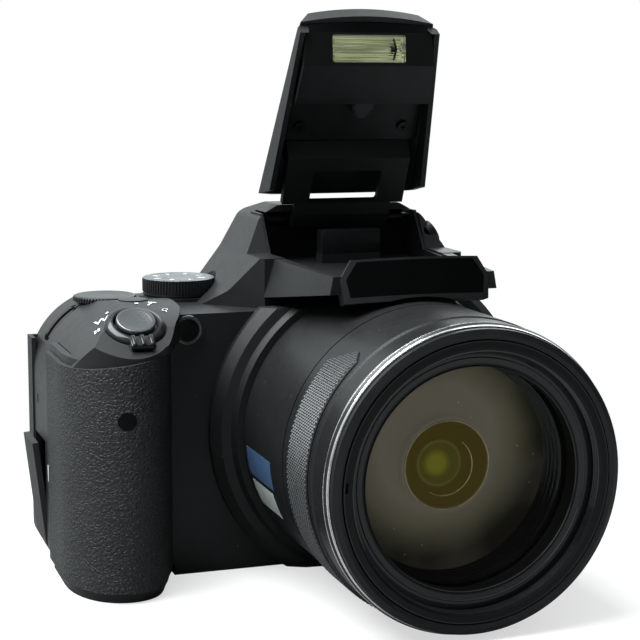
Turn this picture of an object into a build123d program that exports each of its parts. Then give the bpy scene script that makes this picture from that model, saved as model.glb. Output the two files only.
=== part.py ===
from build123d import *
import os
from math import atan2, cos, degrees, radians, sin, sqrt

os.makedirs("parts", exist_ok=True)

# Frame: millimetres, x to the right as seen from the front, the front facing -Y, base on z = 0.
# The origin is the mouth of the tripod socket, straight below the lens axis.
# Depths are counted forward of the origin, so a point at depth d lies at y = -d.

# Casing
axis_height = 41.08
drum_radius = 48.5
grip_reach = 91.0
front_depth = 28.0
back_depth = 18.5
deck_height = 75.0
wall = 2.0
base_thickness = 3.0
top_seam = 66.0
cover_seam = 9.0
base_seam = 20.0
base_round = 7.0
corner_reach = 14.0
corner_drop = 21.0
corner_bulge_in = 4.1
corner_bulge_down = 8.1

# Clearances
seat_gap = 0.05
free_gap = 0.35
button_gap = 0.15
overrun = 6.0

# Grip
grip_inner = 58.6
grip_back = 10.0
grip_side_depth = 26.0
grip_front_depth = 52.0
grip_base_front = 49.3
rubber_thickness = 1.2

# Lobe of the top cover over the grip, which carries the shutter button
lobe_inner = 56.0
lobe_front_depth = 50.5
lobe_back_depth = 5.0
lobe_height = 77.0
lobe_mid_depth = 34.0
lobe_front_height = 67.2
lobe_crown_share = 0.8163
rubber_drop_left = 3.8
rubber_rise_right = 1.0
lobe_mid_height = lobe_front_height + (lobe_height - lobe_front_height) * lobe_crown_share
rubber_top_left = lobe_front_height - rubber_drop_left
rubber_top_right = lobe_front_height + rubber_rise_right

# Hump over the lens, and its nose
hump_height = 102.7
hump_crown_half = 19.4
hump_shoulder_half = 25.9
hump_shoulder_height = 99.2
hump_waist_half = 31.7
hump_waist_height = 89.1
hump_foot_half = 39.0
hump_foot_height = 79.5
hump_toe_half = 45.5
hump_front_depth = 24.0
hump_rear_depth = 24.5
hump_rear_drop = 4.7
hump_top_run = 12.0
nose_front_depth = 62.0
nose_half = 24.3
nose_low = 83.6
nose_rim = 89.3
nose_root_half = 30.5
nose_root_rim_half = 26.6
nose_root_low = 76.8
nose_root_depth = 14.0

# Flash head: hinge line, and places along the head (u) and towards its inner face (n)
hinge_back = 2.6
hinge_height = 98.2
open_angle = 29.34
lid_length = 62.8
lid_bow = 2.8
lid_wall = 1.5

# Lens
barrel_radius = 40.4
barrel_bore = 37.75
barrel_front_depth = 93.8
barrel_flange_radius = 43.0
barrel_flange = 3.0
collar_front_depth = 36.0
stage_radius = 37.4
stage_bore = 36.4
stage_rear_depth = 35.0
trim_radius = 40.05
trim_rear_depth = 94.15
trim_front_depth = 106.0
inner_radius = 36.06
inner_front_depth = 105.6
inner_rear_depth = 38.0
thread_radius = 33.5
thread_depth = 3.7
glass_opening = 28.8


def at(depth):
    """The y of a place at this depth forward of the origin."""
    return -depth


def block(x_low, x_high, y_low, y_high, z_low, z_high):
    """A plain block between six coordinates, for cuts and seams."""
    with BuildPart() as piece:
        with BuildSketch(Plane.XY.offset(z_low)):
            with Locations(((x_low + x_high) / 2, (y_low + y_high) / 2)):
                Rectangle(x_high - x_low, y_high - y_low)
        extrude(amount=z_high - z_low)
    return piece.part


def rod(radius, front, rear):
    """A cylinder on the lens axis between two depths."""
    with BuildPart() as piece:
        with BuildSketch(Plane.XZ.offset(rear)):
            with Locations((0, axis_height)):
                Circle(radius)
        extrude(amount=front - rear)
    return piece.part


def lens_turn(profile):
    """Revolves a (radius, depth) outline about the lens axis."""
    with BuildPart() as piece:
        with BuildSketch(Plane.XY.offset(axis_height)):
            with BuildLine():
                Polyline(*[(radius, at(depth)) for radius, depth in profile], close=True)
            make_face()
        revolve(axis=Axis((0, 0, axis_height), (0, 1, 0)), revolution_arc=360)
    return piece.part


# Front view of the casing below the deck
base_half = sqrt(drum_radius**2 - axis_height**2)
deck_edge = sqrt(drum_radius**2 - (deck_height - axis_height) ** 2)


def casing_face(depth, inset):
    """Front view of the casing at one depth, drawn in by an inset."""
    cut_corner = base_round * (1 - cos(radians(45)))
    with BuildSketch(Plane.XZ.offset(depth)) as face:
        with BuildLine():
            Line((base_round - grip_reach, 0), (base_half, 0))
            ThreePointArc((base_half, 0), (drum_radius, axis_height), (deck_edge, deck_height))
            Line((deck_edge, deck_height), (corner_reach - grip_reach, deck_height))
            ThreePointArc(
                (corner_reach - grip_reach, deck_height),
                (corner_bulge_in - grip_reach, deck_height - corner_bulge_down),
                (-grip_reach, deck_height - corner_drop),
            )
            Line((-grip_reach, deck_height - corner_drop), (-grip_reach, base_round))
            ThreePointArc(
                (-grip_reach, base_round),
                (cut_corner - grip_reach, cut_corner),
                (base_round - grip_reach, 0),
            )
        make_face()
        if inset > 0:
            offset(amount=-inset, kind=Kind.INTERSECTION)
    return face.sketch


# Plan of the grip: shares of its width and of its reach forward of where the sides start
grip_width_shares = (0.0, 0.05, 0.22, 0.49, 0.73, 0.88, 1.0)
grip_reach_shares = (0.0, 0.48, 0.85, 1.0, 0.87, 0.47, 0.0)
grip_exit_share = 0.25


def grip_face(height, front, inset, inner=grip_inner, back=grip_back):
    """Plan of the grip at one height, closed at the back inside the casing."""
    left = inset - grip_reach
    right = -inner - inset
    reach = front - inset - grip_side_depth
    points = [
        (left + (right - left) * across, at(grip_side_depth + reach * along))
        for across, along in zip(grip_width_shares, grip_reach_shares)
    ]
    with BuildSketch(Plane.XY.offset(height)) as face:
        with BuildLine():
            Spline(*points, tangents=[(0, -1), (grip_exit_share, 1)])
            Polyline(points[-1], (right, at(back)), (left, at(back)), points[0])
        make_face()
    return face.sketch


grip_low_height = 25.0
grip_mid_height = 50.0
grip_heights = (base_thickness, grip_low_height, grip_mid_height, top_seam + overrun)
grip_front_shares = (0.965, 0.99, 1.0, 0.985)


def grip_form(inset):
    """The grip from the base plate up into the top cover."""
    sections = [
        grip_face(height, grip_front_depth * share, inset)
        for height, share in zip(grip_heights, grip_front_shares)
    ]
    with BuildPart() as form:
        loft(sections)
    return form.part


grip_outer = grip_form(0)
grip_core = grip_form(rubber_thickness)
grip_hollow = grip_form(rubber_thickness + wall)

# The slanted plane that ends the rubber at its top
rubber_slope = atan2(rubber_top_right - rubber_top_left, grip_reach - grip_inner)
rubber_top = Plane(
    origin=(-grip_reach, 0, rubber_top_left),
    x_dir=(cos(rubber_slope), 0, sin(rubber_slope)),
    z_dir=(-sin(rubber_slope), 0, cos(rubber_slope)),
)

# Casing below the deck, with the space that the rubber fills cut from its left side
with BuildPart() as casing:
    extrude(casing_face(-back_depth, 0), amount=front_depth + back_depth)
    add(
        block(
            -grip_reach - overrun,
            rubber_thickness - grip_reach,
            at(front_depth + overrun),
            at(grip_back),
            base_thickness,
            rubber_top_left,
        ),
        mode=Mode.SUBTRACT,
    )
    add(grip_core)
    split(bisect_by=Plane.XY.offset(top_seam), keep=Keep.BOTTOM)

with BuildPart() as casing_hollow:
    extrude(casing_face(wall - back_depth, wall), amount=front_depth + back_depth - 2 * wall)
    add(
        block(
            -grip_reach - overrun,
            rubber_thickness + wall - grip_reach,
            at(front_depth + overrun),
            at(grip_back - wall),
            0,
            deck_height,
        ),
        mode=Mode.SUBTRACT,
    )
    add(grip_hollow)
    add(
        block(-grip_reach, drum_radius, at(grip_front_depth), back_depth, 0, base_thickness),
        mode=Mode.SUBTRACT,
    )
    split(bisect_by=Plane.XY.offset(deck_height - wall), keep=Keep.BOTTOM)

# Base plan of the grip, under the rubber
with BuildPart() as grip_foot:
    extrude(grip_face(0, grip_base_front, rubber_thickness), amount=base_thickness)

# Front cover
barrel_hole = rod(barrel_radius + seat_gap, front_depth + overrun, front_depth - wall - overrun)
flange_hole = rod(barrel_flange_radius + free_gap, front_depth - wall, base_seam - overrun)
base_region = block(
    -grip_reach - overrun, drum_radius + overrun, at(base_seam), back_depth + overrun, 0, base_thickness
)
grip_region = block(
    -grip_reach - overrun, -grip_inner, at(front_depth + grip_front_depth), 0, 0, base_thickness
)
rear_region = block(
    -grip_reach - overrun,
    drum_radius + overrun,
    at(cover_seam),
    back_depth + overrun,
    -overrun,
    top_seam + overrun,
)
lamp_x = -54.3
lamp_height = 70.6
lamp_radius = 3.0
lamp_rim = 1.1
lamp_proud = 1.0
window_x = -76.9
window_height = 50.8
window_radius = 2.45
boss_radius = 2.6
boss_height = 6.0
boss_x_left = -50.0
boss_x_right = 22.0
boss_back = back_depth - wall - boss_radius + seat_gap
screw_shank = 0.9

with BuildPart() as front_cover:
    add(casing.part)
    add(casing_hollow.part, mode=Mode.SUBTRACT)
    add(rear_region, mode=Mode.SUBTRACT)
    add(base_region, mode=Mode.SUBTRACT)
    add(grip_region, mode=Mode.SUBTRACT)
    add(barrel_hole, mode=Mode.SUBTRACT)
    with BuildSketch(Plane.XZ.offset(grip_back)):
        with Locations((window_x, window_height)):
            Circle(window_radius + seat_gap)
    extrude(amount=grip_front_depth, mode=Mode.SUBTRACT)
front_cover.part.label = "front_cover"
export_step(front_cover.part, "parts/front_cover.step")

# Leather-grained rubber round the grip
with BuildPart() as grip_rubber:
    add(grip_outer)
    split(bisect_by=rubber_top, keep=Keep.BOTTOM)
    add(grip_core, mode=Mode.SUBTRACT)
    add(casing.part, mode=Mode.SUBTRACT)
    with BuildSketch(Plane.XZ.offset(grip_back)):
        with Locations((window_x, window_height)):
            Circle(window_radius + seat_gap)
    extrude(amount=grip_front_depth, mode=Mode.SUBTRACT)
grip_rubber.part.label = "grip_rubber"
export_step(grip_rubber.part, "parts/grip_rubber.step")

# Rear cover: monitor recess, port opening and thumb rubber seat
monitor_low = 12.5
monitor_high = 70.5
monitor_left = 43.5
monitor_right = 32.3
monitor_recess = 6.5
monitor_floor = back_depth - monitor_recess
hinge_right = 38.7
hinge_low = 17.0
hinge_high = 65.0
port_low = 3.0
port_high = 36.5
port_front = 5.6
port_rear = 10.6
flap_pin_x = -89.4
flap_pin_height = 4.1
flap_pin_radius = 0.5
flap_pin_long = 0.8
flap_relief = 1.4
pad_seat = 0.8
pad_proud = 0.5
pad_front = 11.5
pad_low = 31.0
pad_step = 46.0
pad_high = 64.0
pad_right = 77.0


def tray_face(y, grow):
    """Rear view of the monitor recess, with its step for the hinge block."""
    with BuildSketch(Plane.XZ.offset(-y)) as face:
        with BuildLine():
            Polyline(
                (-monitor_left - grow, monitor_low - grow),
                (monitor_right + grow, monitor_low - grow),
                (monitor_right + grow, hinge_low - grow),
                (hinge_right + grow, hinge_low - grow),
                (hinge_right + grow, hinge_high + grow),
                (monitor_right + grow, hinge_high + grow),
                (monitor_right + grow, monitor_high + grow),
                (-monitor_left - grow, monitor_high + grow),
                close=True,
            )
        make_face()
    return face.sketch


hinge_axis_x = 35.5
hinge_axis_y = 19.8
hinge_pin_radius = 1.2
ear_radius = 2.2
ear_rise = 0.35
port_sill = 4.0

port_opening = block(
    -grip_reach - overrun,
    port_sill - grip_reach,
    at(port_front),
    port_rear,
    port_low,
    port_high,
)
recess_gap = 0.5
recess_space = extrude(
    tray_face(back_depth + overrun, recess_gap), amount=back_depth + overrun - monitor_floor
)
with BuildPart() as tray_walls:
    extrude(tray_face(back_depth, recess_gap + wall), amount=back_depth - monitor_floor + wall)
    add(recess_space, mode=Mode.SUBTRACT)

# Strap slots across both top corners, with a pocket behind each and a bar across it
strap_y = 5.0
strap_width = 3.4
strap_long = 13.0
strap_depth = 4.2
strap_skin = 1.2
strap_bar_depth = 1.7
bar_radius = 0.9
bar_half = 2.6
left_strap_angle = 50.0
left_strap_x = -84.6
left_strap_height = 69.4
right_strap_angle = 38.0
left_strap_plane = Plane(
    origin=(left_strap_x, strap_y, left_strap_height),
    x_dir=(0, 1, 0),
    z_dir=(-sin(radians(left_strap_angle)), 0, cos(radians(left_strap_angle))),
)
right_strap_plane = Plane(
    origin=(
        drum_radius * cos(radians(right_strap_angle)),
        strap_y,
        axis_height + drum_radius * sin(radians(right_strap_angle)),
    ),
    x_dir=(0, 1, 0),
    z_dir=(cos(radians(right_strap_angle)), 0, sin(radians(right_strap_angle))),
)


def strap_form(plane, grow, low, high):
    """A slot-shaped block square to a strap plane, between two heights above it."""
    with BuildPart() as form:
        with BuildSketch(plane.offset(low)):
            SlotOverall(strap_long + 2 * grow, strap_width + 2 * grow, rotation=90)
        extrude(amount=high - low)
    return form.part


def strap_bar(plane, radius):
    """A round bar along Y across a strap slot."""
    with BuildPart() as form:
        with BuildSketch(Plane(origin=plane.origin, x_dir=(1, 0, 0), z_dir=(0, 1, 0))):
            with Locations(
                Plane(origin=plane.origin, x_dir=(1, 0, 0), z_dir=(0, 1, 0)).to_local_coords(
                    plane.origin - plane.z_dir * strap_bar_depth
                )
            ):
                Circle(radius)
        extrude(amount=bar_half, both=True)
    return form.part


left_strap_pocket = strap_form(left_strap_plane, strap_skin, -strap_depth - strap_skin, -strap_skin)
right_strap_pocket = strap_form(right_strap_plane, strap_skin, -strap_depth - strap_skin, -strap_skin)
left_upper_pocket = split(left_strap_pocket, bisect_by=Plane.XY.offset(top_seam), keep=Keep.TOP)
right_upper_pocket = split(right_strap_pocket, bisect_by=Plane.XY.offset(top_seam), keep=Keep.TOP)
upper_tray = split(tray_walls.part, bisect_by=Plane.XY.offset(top_seam), keep=Keep.TOP)
left_strap_slot = strap_form(left_strap_plane, 0, -strap_depth, overrun)
right_strap_slot = strap_form(right_strap_plane, 0, -strap_depth, overrun)

front_half = block(
    -grip_reach - overrun,
    drum_radius + overrun,
    at(front_depth + grip_front_depth),
    at(cover_seam),
    -overrun,
    top_seam + overrun,
)

# Rear controls, laid out on the right of the back as the user sees it
selector_x = -67.5
selector_height = 32.0
selector_radius = 11.5
selector_bore = 7.0
selector_sink = 1.2
selector_proud = 1.6
hub_proud = 1.1
ok_radius = 5.6
small_radius = 3.6
rear_proud = 0.9
low_row = 14.0
middle_row = 47.5
high_row = 61.5
menu_x = -56.5
delete_x = -78.5
playback_x = -55.5
rear_buttons = {
    "menu_button": (menu_x, low_row),
    "delete_button": (delete_x, low_row),
    "playback_button": (playback_x, middle_row),
    "display_button": (menu_x, high_row),
}
record_x = -66.0
record_height = 62.0
button_foot = 0.9
button_foot_depth = 0.8

with BuildPart() as rear_cover:
    add(casing.part)
    add(casing_hollow.part, mode=Mode.SUBTRACT)
    add(front_half, mode=Mode.SUBTRACT)
    add(base_region, mode=Mode.SUBTRACT)
    add(tray_walls.part)
    # Ears that hold the pins of the monitor hinge
    with BuildSketch(Plane.XY.offset(hinge_low - recess_gap - wall)):
        with Locations((hinge_axis_x, hinge_axis_y)):
            Circle(ear_radius)
    extrude(amount=wall + ear_rise)
    with BuildSketch(Plane.XY.offset(hinge_high + recess_gap - ear_rise)):
        with Locations((hinge_axis_x, hinge_axis_y)):
            Circle(ear_radius)
    extrude(amount=top_seam - hinge_high - recess_gap + ear_rise)
    with BuildSketch():
        with Locations((hinge_axis_x, hinge_axis_y)):
            Circle(hinge_pin_radius + seat_gap)
    extrude(amount=hump_height, mode=Mode.SUBTRACT)
    add(recess_space, mode=Mode.SUBTRACT)
    add(left_strap_pocket, mode=Mode.ADD)
    add(right_strap_pocket, mode=Mode.ADD)
    add(left_strap_slot, mode=Mode.SUBTRACT)
    add(right_strap_slot, mode=Mode.SUBTRACT)
    split(bisect_by=Plane.XY.offset(top_seam), keep=Keep.BOTTOM)
    split(bisect_by=Plane.XY.offset(base_thickness), keep=Keep.TOP)
    with BuildSketch(Plane.XY.offset(base_thickness)):
        with Locations((boss_x_left, boss_back), (boss_x_right, boss_back)):
            Circle(boss_radius)
    extrude(amount=boss_height)
    with BuildSketch(Plane.XY.offset(base_thickness)):
        with Locations((boss_x_left, boss_back), (boss_x_right, boss_back)):
            Circle(screw_shank + seat_gap)
    extrude(amount=boss_height, mode=Mode.SUBTRACT)
    add(port_opening, mode=Mode.SUBTRACT)
    with BuildSketch(Plane.XZ.offset(port_front + flap_pin_long)):
        with Locations((flap_pin_x, flap_pin_height)):
            Circle(flap_pin_radius + seat_gap)
    extrude(amount=-port_front - port_rear - 2 * flap_pin_long, mode=Mode.SUBTRACT)
    # Seat of the thumb rubber round the rear corner
    add(
        block(
            -grip_reach - overrun, pad_seat - grip_reach, pad_front, back_depth + overrun, pad_low, pad_high
        ),
        mode=Mode.SUBTRACT,
    )
    add(
        block(
            -grip_reach - overrun,
            -pad_right,
            back_depth - pad_seat,
            back_depth + overrun,
            pad_step,
            pad_high,
        ),
        mode=Mode.SUBTRACT,
    )
    # Seat and hub of the selector ring, with the hole of the button in its middle
    with BuildSketch(Plane.XZ.offset(selector_sink - back_depth)):
        with Locations((selector_x, selector_height)):
            Circle(selector_radius + free_gap)
    extrude(amount=-overrun, mode=Mode.SUBTRACT)
    with BuildSketch(Plane.XZ.offset(selector_sink - back_depth + seat_gap)):
        with Locations((selector_x, selector_height)):
            Circle(selector_bore - seat_gap)
    extrude(amount=-selector_sink - seat_gap - hub_proud)
    with BuildSketch(Plane.XZ.offset(wall - back_depth - overrun)):
        with Locations((selector_x, selector_height)):
            Circle(ok_radius + button_gap)
    extrude(amount=2 * overrun, both=True, mode=Mode.SUBTRACT)
    with BuildSketch(Plane.XZ.offset(wall - back_depth - overrun)):
        with Locations(*rear_buttons.values()):
            Circle(small_radius + button_gap)
        with Locations((record_x, record_height)):
            Circle(small_radius + button_gap)
    extrude(amount=2 * overrun, mode=Mode.SUBTRACT)
rear_cover.part.label = "rear_cover"
export_step(rear_cover.part, "parts/rear_cover.step")

# Base cover with the tripod hole, the battery opening and the screw holes
door_left = 84.0
door_right = 67.0
door_front = 40.0
door_rear = 12.0
bush_radius = 6.0
bush_flange_radius = 9.0
bush_flange = 1.5
bush_height = 9.0
screw_head_radius = 2.0
screw_head_height = 1.2
screw_sink = 0.3
screw_length = 6.5
screw_front = 14.5
screw_spots = (
    (boss_x_left, at(screw_front)),
    (boss_x_right, at(screw_front)),
    (boss_x_left, boss_back),
    (boss_x_right, boss_back),
)
door_pin_x = -68.2
door_pin_height = 1.0
door_pin_radius = 0.5
door_pin_long = 0.9

with BuildPart() as base_cover:
    add(casing.part, mode=Mode.ADD)
    split(bisect_by=Plane.XY.offset(base_thickness), keep=Keep.BOTTOM)
    add(base_region, mode=Mode.INTERSECT)
    add(grip_foot.part)
    with BuildSketch():
        Circle(bush_radius + seat_gap)
        with Locations(*screw_spots):
            Circle(screw_shank + seat_gap)
    extrude(amount=base_thickness, mode=Mode.SUBTRACT)
    with BuildSketch():
        with Locations(*screw_spots):
            Circle(screw_head_radius + seat_gap)
    extrude(amount=screw_sink + screw_head_height, mode=Mode.SUBTRACT)
    with BuildSketch(Plane.XZ.offset(door_front + door_pin_long)):
        with Locations((door_pin_x, door_pin_height)):
            Circle(door_pin_radius + seat_gap)
    extrude(amount=door_rear - door_front - 2 * door_pin_long, mode=Mode.SUBTRACT)
    with BuildSketch():
        with Locations(((-door_left - door_right) / 2, at((door_front + door_rear) / 2))):
            Rectangle(door_left - door_right, door_front - door_rear)
    extrude(amount=base_thickness, mode=Mode.SUBTRACT)
    # Hollow along the edge, which the open connector cover swings into
    with BuildSketch(Plane.XZ.offset(port_front)):
        with Locations((flap_pin_x, flap_pin_height)):
            Circle(flap_relief)
    extrude(amount=-port_front - port_rear, mode=Mode.SUBTRACT)
base_cover.part.label = "base_cover"
export_step(base_cover.part, "parts/base_cover.step")

# Hump: three views intersected
hump_cheek_swell = 1.5
hump_cheek_round = 20.0
hump_waist_round = 9.0
hump_shoulder_round = 4.0
hump_crown_round = 3.0
hump_foot_round = 6.0


def hump_face(depth, inset):
    """Front view of the hump, down into the casing."""
    points = [
        (hump_waist_half, deck_height - overrun),
        (hump_waist_half + hump_cheek_swell, hump_foot_height),
        (hump_waist_half, hump_waist_height),
        (hump_shoulder_half, hump_shoulder_height),
        (hump_crown_half, hump_height),
        (-hump_crown_half, hump_height),
        (-hump_shoulder_half, hump_shoulder_height),
        (-hump_waist_half, hump_waist_height),
        (-hump_foot_half, hump_foot_height),
        (-hump_toe_half, deck_height),
        (-hump_toe_half, deck_height - overrun),
    ]
    rounds = [
        0,
        hump_cheek_round,
        hump_waist_round,
        hump_shoulder_round,
        hump_crown_round,
        hump_crown_round,
        hump_shoulder_round,
        hump_waist_round,
        hump_foot_round,
        0,
        0,
    ]
    with BuildSketch(Plane.XZ.offset(depth)) as face:
        with BuildLine():
            FilletPolyline(*points, radius=rounds, close=True)
        make_face()
        if inset > 0:
            offset(amount=-inset, kind=Kind.INTERSECTION)
    return face.sketch




def side_face(points, x):
    """A side outline of (depth, height) points, drawn on a plane at x."""
    with BuildSketch(Plane.YZ.offset(x)) as face:
        with BuildLine():
            Polyline(*[(at(depth), height) for depth, height in points], close=True)
        make_face()
    return face.sketch


def nose_face(depth, half, rim_half, low, high):
    """Front view of the nose at one depth, wider at its lower edge."""
    with BuildSketch(Plane.XZ.offset(depth)) as face:
        with BuildLine():
            Polyline((-half, low), (half, low), (rim_half, high), (-rim_half, high), close=True)
        make_face()
    return face.sketch


# The front edge of the hump's shoulders slopes, parallel to the back edge of the closed lid
shoulder_top_depth = 1.7
shoulder_low_depth = 10.0
nose_lip = 0.9
bezel_width = 1.6
bezel_depth = 6.5
bezel_rise = 0.7
plate_tilt = 16.0
plate_bow_radius = 81.0
plate_front = 66.5
plate_low = 83.6
plate_thickness = 1.6
plate_half = 20.0
plate_top_half = 16.8
plate_knee = 4.9
plate_height = 9.4
plate_low_half = 19.2

with BuildPart() as hump:
    extrude(hump_face(hump_front_depth, 0), amount=-hump_front_depth - back_depth)
    extrude(
        side_face(
            [
                (hump_front_depth, 0),
                (hump_front_depth, nose_rim),
                (shoulder_low_depth, nose_rim),
                (shoulder_top_depth, hump_height),
                (-hump_top_run, hump_height),
                (-back_depth, hump_height - hump_rear_drop / 2),
                (-back_depth, 0),
            ],
            -grip_reach,
        ),
        amount=2 * grip_reach,
        mode=Mode.INTERSECT,
    )
    # The front of the hump draws in towards the nose
    with BuildSketch():
        with BuildLine():
            Polyline(
                (-hump_toe_half, back_depth),
                (-hump_toe_half, at(shoulder_low_depth)),
                (-nose_root_half, at(hump_front_depth)),
                (nose_root_half, at(hump_front_depth)),
                (hump_waist_half + overrun, at(shoulder_low_depth)),
                (hump_waist_half + overrun, back_depth),
                close=True,
            )
        make_face()
    extrude(amount=hump_height, mode=Mode.INTERSECT)

# The bowed front of the nose carries the blank plate
plate_plane = Plane(
    origin=(0, at(plate_front), plate_low),
    x_dir=(1, 0, 0),
    z_dir=(0, -cos(radians(plate_tilt)), sin(radians(plate_tilt))),
)


def plate_outline(grow, rise):
    """Front view of the blank plate on its own tilted plane, behind its bow."""
    with BuildSketch(plate_plane.offset(-bezel_depth)) as face:
        with BuildLine():
            Polyline(
                (-plate_low_half - grow, -grow),
                (plate_low_half + grow, -grow),
                (plate_half + grow, plate_knee),
                (plate_top_half + grow, plate_height + rise),
                (-plate_top_half - grow, plate_height + rise),
                (-plate_half - grow, plate_knee),
                close=True,
            )
        make_face()
    return face.sketch


def plate_drum(radius):
    """An upright drum whose front is the bow of the plate."""
    with BuildPart() as drum:
        with BuildSketch(
            Plane(
                origin=plate_plane.from_local_coords((0, -plate_height, -plate_bow_radius)),
                x_dir=(1, 0, 0),
                z_dir=plate_plane.y_dir,
            )
        ):
            Circle(radius)
        extrude(amount=3 * plate_height)
    return drum.part


with BuildPart() as bezel:
    extrude(plate_outline(bezel_width, bezel_rise), amount=bezel_depth + overrun)
    add(plate_drum(plate_bow_radius), mode=Mode.INTERSECT)

with BuildPart() as plate_seat:
    extrude(plate_outline(seat_gap, seat_gap), amount=bezel_depth + overrun)
    add(plate_drum(plate_bow_radius - plate_thickness - seat_gap), mode=Mode.SUBTRACT)

nose_root_wide = 2.0
with BuildPart() as nose:
    loft(
        [
            nose_face(
                nose_root_depth,
                nose_root_half + nose_root_wide,
                nose_root_rim_half + nose_root_wide,
                nose_root_low,
                nose_rim,
            ),
            nose_face(nose_front_depth, nose_half, nose_half - nose_lip, nose_low, nose_rim - nose_lip),
        ],
        ruled=True,
    )
    add(bezel.part)

# Lobe over the grip: its plan, its side view and the rounding of the casing's corner
lobe_step_depth = 8.0
lobe_crown = ThreePointArc(
    (at(lobe_front_depth), lobe_front_height),
    (at(lobe_mid_depth), lobe_mid_height),
    (at(lobe_step_depth), lobe_height),
)


def lobe_surface(y):
    """Height of the lobe's crowned top at y."""
    middle = lobe_crown.arc_center
    side = 1 if middle.Y < lobe_height else -1
    return middle.Y + side * sqrt(lobe_crown.radius**2 - (y - middle.X) ** 2)


def lobe_slope(y):
    """Slope of the lobe's crowned top at y, in degrees, down to the front."""
    middle = lobe_crown.arc_center
    side = 1 if middle.Y < lobe_height else -1
    return degrees(atan2(side * (middle.X - y), side * (lobe_surface(y) - middle.Y)))


def lobe_form(inset):
    """The raised deck over the grip, drawn in by an inset."""
    low = deck_height - corner_drop
    with BuildPart() as form:
        extrude(
            grip_face(low, lobe_front_depth, inset, lobe_inner, -lobe_back_depth),
            amount=lobe_height,
        )
        with BuildSketch(Plane.YZ.offset(-grip_reach)):
            with BuildLine():
                Polyline(
                    (at(lobe_front_depth + overrun), lobe_front_height - inset - overrun),
                    (at(lobe_front_depth), lobe_front_height - inset),
                )
                ThreePointArc(
                    (at(lobe_front_depth), lobe_front_height - inset),
                    (at(lobe_mid_depth), lobe_mid_height - inset),
                    (at(lobe_step_depth), lobe_height - inset),
                )
                Polyline(
                    (at(lobe_step_depth), lobe_height - inset),
                    (lobe_back_depth, deck_height - inset),
                    (lobe_back_depth, low),
                    (at(lobe_front_depth + overrun), low),
                    (at(lobe_front_depth + overrun), lobe_front_height - inset - overrun),
                )
            make_face()
        extrude(amount=2 * grip_reach, mode=Mode.INTERSECT)
        with BuildSketch(Plane.XZ.offset(-back_depth)):
            with BuildLine():
                ThreePointArc(
                    (inset + corner_reach - grip_reach, deck_height - inset),
                    (inset + corner_bulge_in - grip_reach, deck_height - corner_bulge_down - inset),
                    (inset - grip_reach, low),
                )
                Polyline(
                    (inset - grip_reach, low),
                    (-lobe_inner + overrun, low),
                    (-lobe_inner + overrun, lobe_height + overrun),
                    (-lobe_inner - overrun, lobe_height + overrun),
                    (inset + corner_reach - grip_reach, deck_height - inset),
                )
            make_face()
        extrude(amount=back_depth + grip_front_depth + overrun, mode=Mode.INTERSECT)
    return form.part


# Flash head frame: u runs along the head, n towards its inner face
head_up = Vector(0, -sin(radians(open_angle)), cos(radians(open_angle)))
head_in = Vector(0, -cos(radians(open_angle)), -sin(radians(open_angle)))
hinge_point = Vector(0, hinge_back, hinge_height)
head_side = Plane(origin=hinge_point, x_dir=head_up, z_dir=(1, 0, 0))
head_face = Plane(origin=hinge_point, x_dir=(1, 0, 0), z_dir=head_in)


def head_section(u):
    """A plane square to the head at u, with x across and n towards the inner face."""
    return Plane(origin=hinge_point + head_up * u, x_dir=(1, 0, 0), z_dir=head_up * -1)


# The well that the head folds into
well_front_depth = 60.9
well_front_half = 21.9
well_rear_half = 25.2
well_back = 7.4
well_floor = 85.0
well_wall = 1.0
well_skin = 2.1
well_rim_drop = 0.4


def well_space(inset):
    """The space of the well, drawn in by an inset and open at the top."""
    with BuildPart() as space:
        extrude(
            side_face(
                [
                    (well_front_depth - inset, well_floor + inset),
                    (well_front_depth - inset, hump_height + overrun),
                    (shoulder_top_depth, hump_height + overrun),
                    (shoulder_top_depth, hump_height - well_skin - inset),
                    (inset - well_back, hump_height - well_skin - inset),
                    (inset - well_back, well_floor + inset),
                ],
                -grip_reach,
            ),
            amount=2 * grip_reach,
        )
        with BuildSketch():
            with BuildLine():
                Polyline(
                    (-well_rear_half + inset, well_back + overrun),
                    (-well_rear_half + inset, at(shoulder_low_depth)),
                    (-well_front_half + inset, at(well_front_depth)),
                    (well_front_half - inset, at(well_front_depth)),
                    (well_rear_half - inset, at(shoulder_low_depth)),
                    (well_rear_half - inset, well_back + overrun),
                    close=True,
                )
            make_face()
        extrude(amount=hump_height + overrun, mode=Mode.INTERSECT)
    return space.part


well_outer = well_space(0)

# Top cover
nose_clear = 1.4
finder_half = 15.0
finder_low = 76.0
finder_rear = 23.0
finder_case_half = 20.0
finder_case_low = 74.0
finder_case_high = 99.0
finder_taper = 1.5
finder_round = 3.0
dial_x = -47.9
dial_y = 6.84
dial_top = 81.25
dial_radius = 10.84
collar_grow = 0.9
stem_radius = 2.5
wheel_x = -70.6
wheel_y = 6.0
wheel_radius = 9.3
wheel_top = 76.9
power_x = -66.5
power_y = -14.0
power_radius = 4.2
power_proud = 0.35

shutter_x = -71.5
shutter_depth = 38.0
shutter_lift = 0.07
shutter_lean = 8.01
shutter_radius = 5.4
shutter_high = 2.4
shutter_travel = 1.2
lever_radius = 8.3
lever_bore = 6.05
lever_thick = 2.2
tab_far = 11.4
tab_round = 1.2
lever_sink = 0.9
hub_top = -0.2
eye_half = 10.0
eye_rise = 7.5
eye_height = 88.0
shutter_tilt = lobe_slope(at(shutter_depth)) + shutter_lean
lever_plane = Plane(
    origin=(shutter_x, at(shutter_depth), lobe_surface(at(shutter_depth)) + shutter_lift),
    x_dir=(1, 0, 0),
    z_dir=(0, -sin(radians(shutter_tilt)), cos(radians(shutter_tilt))),
)
shutter_stem = 2.2
shutter_stem_long = 6.0

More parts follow.
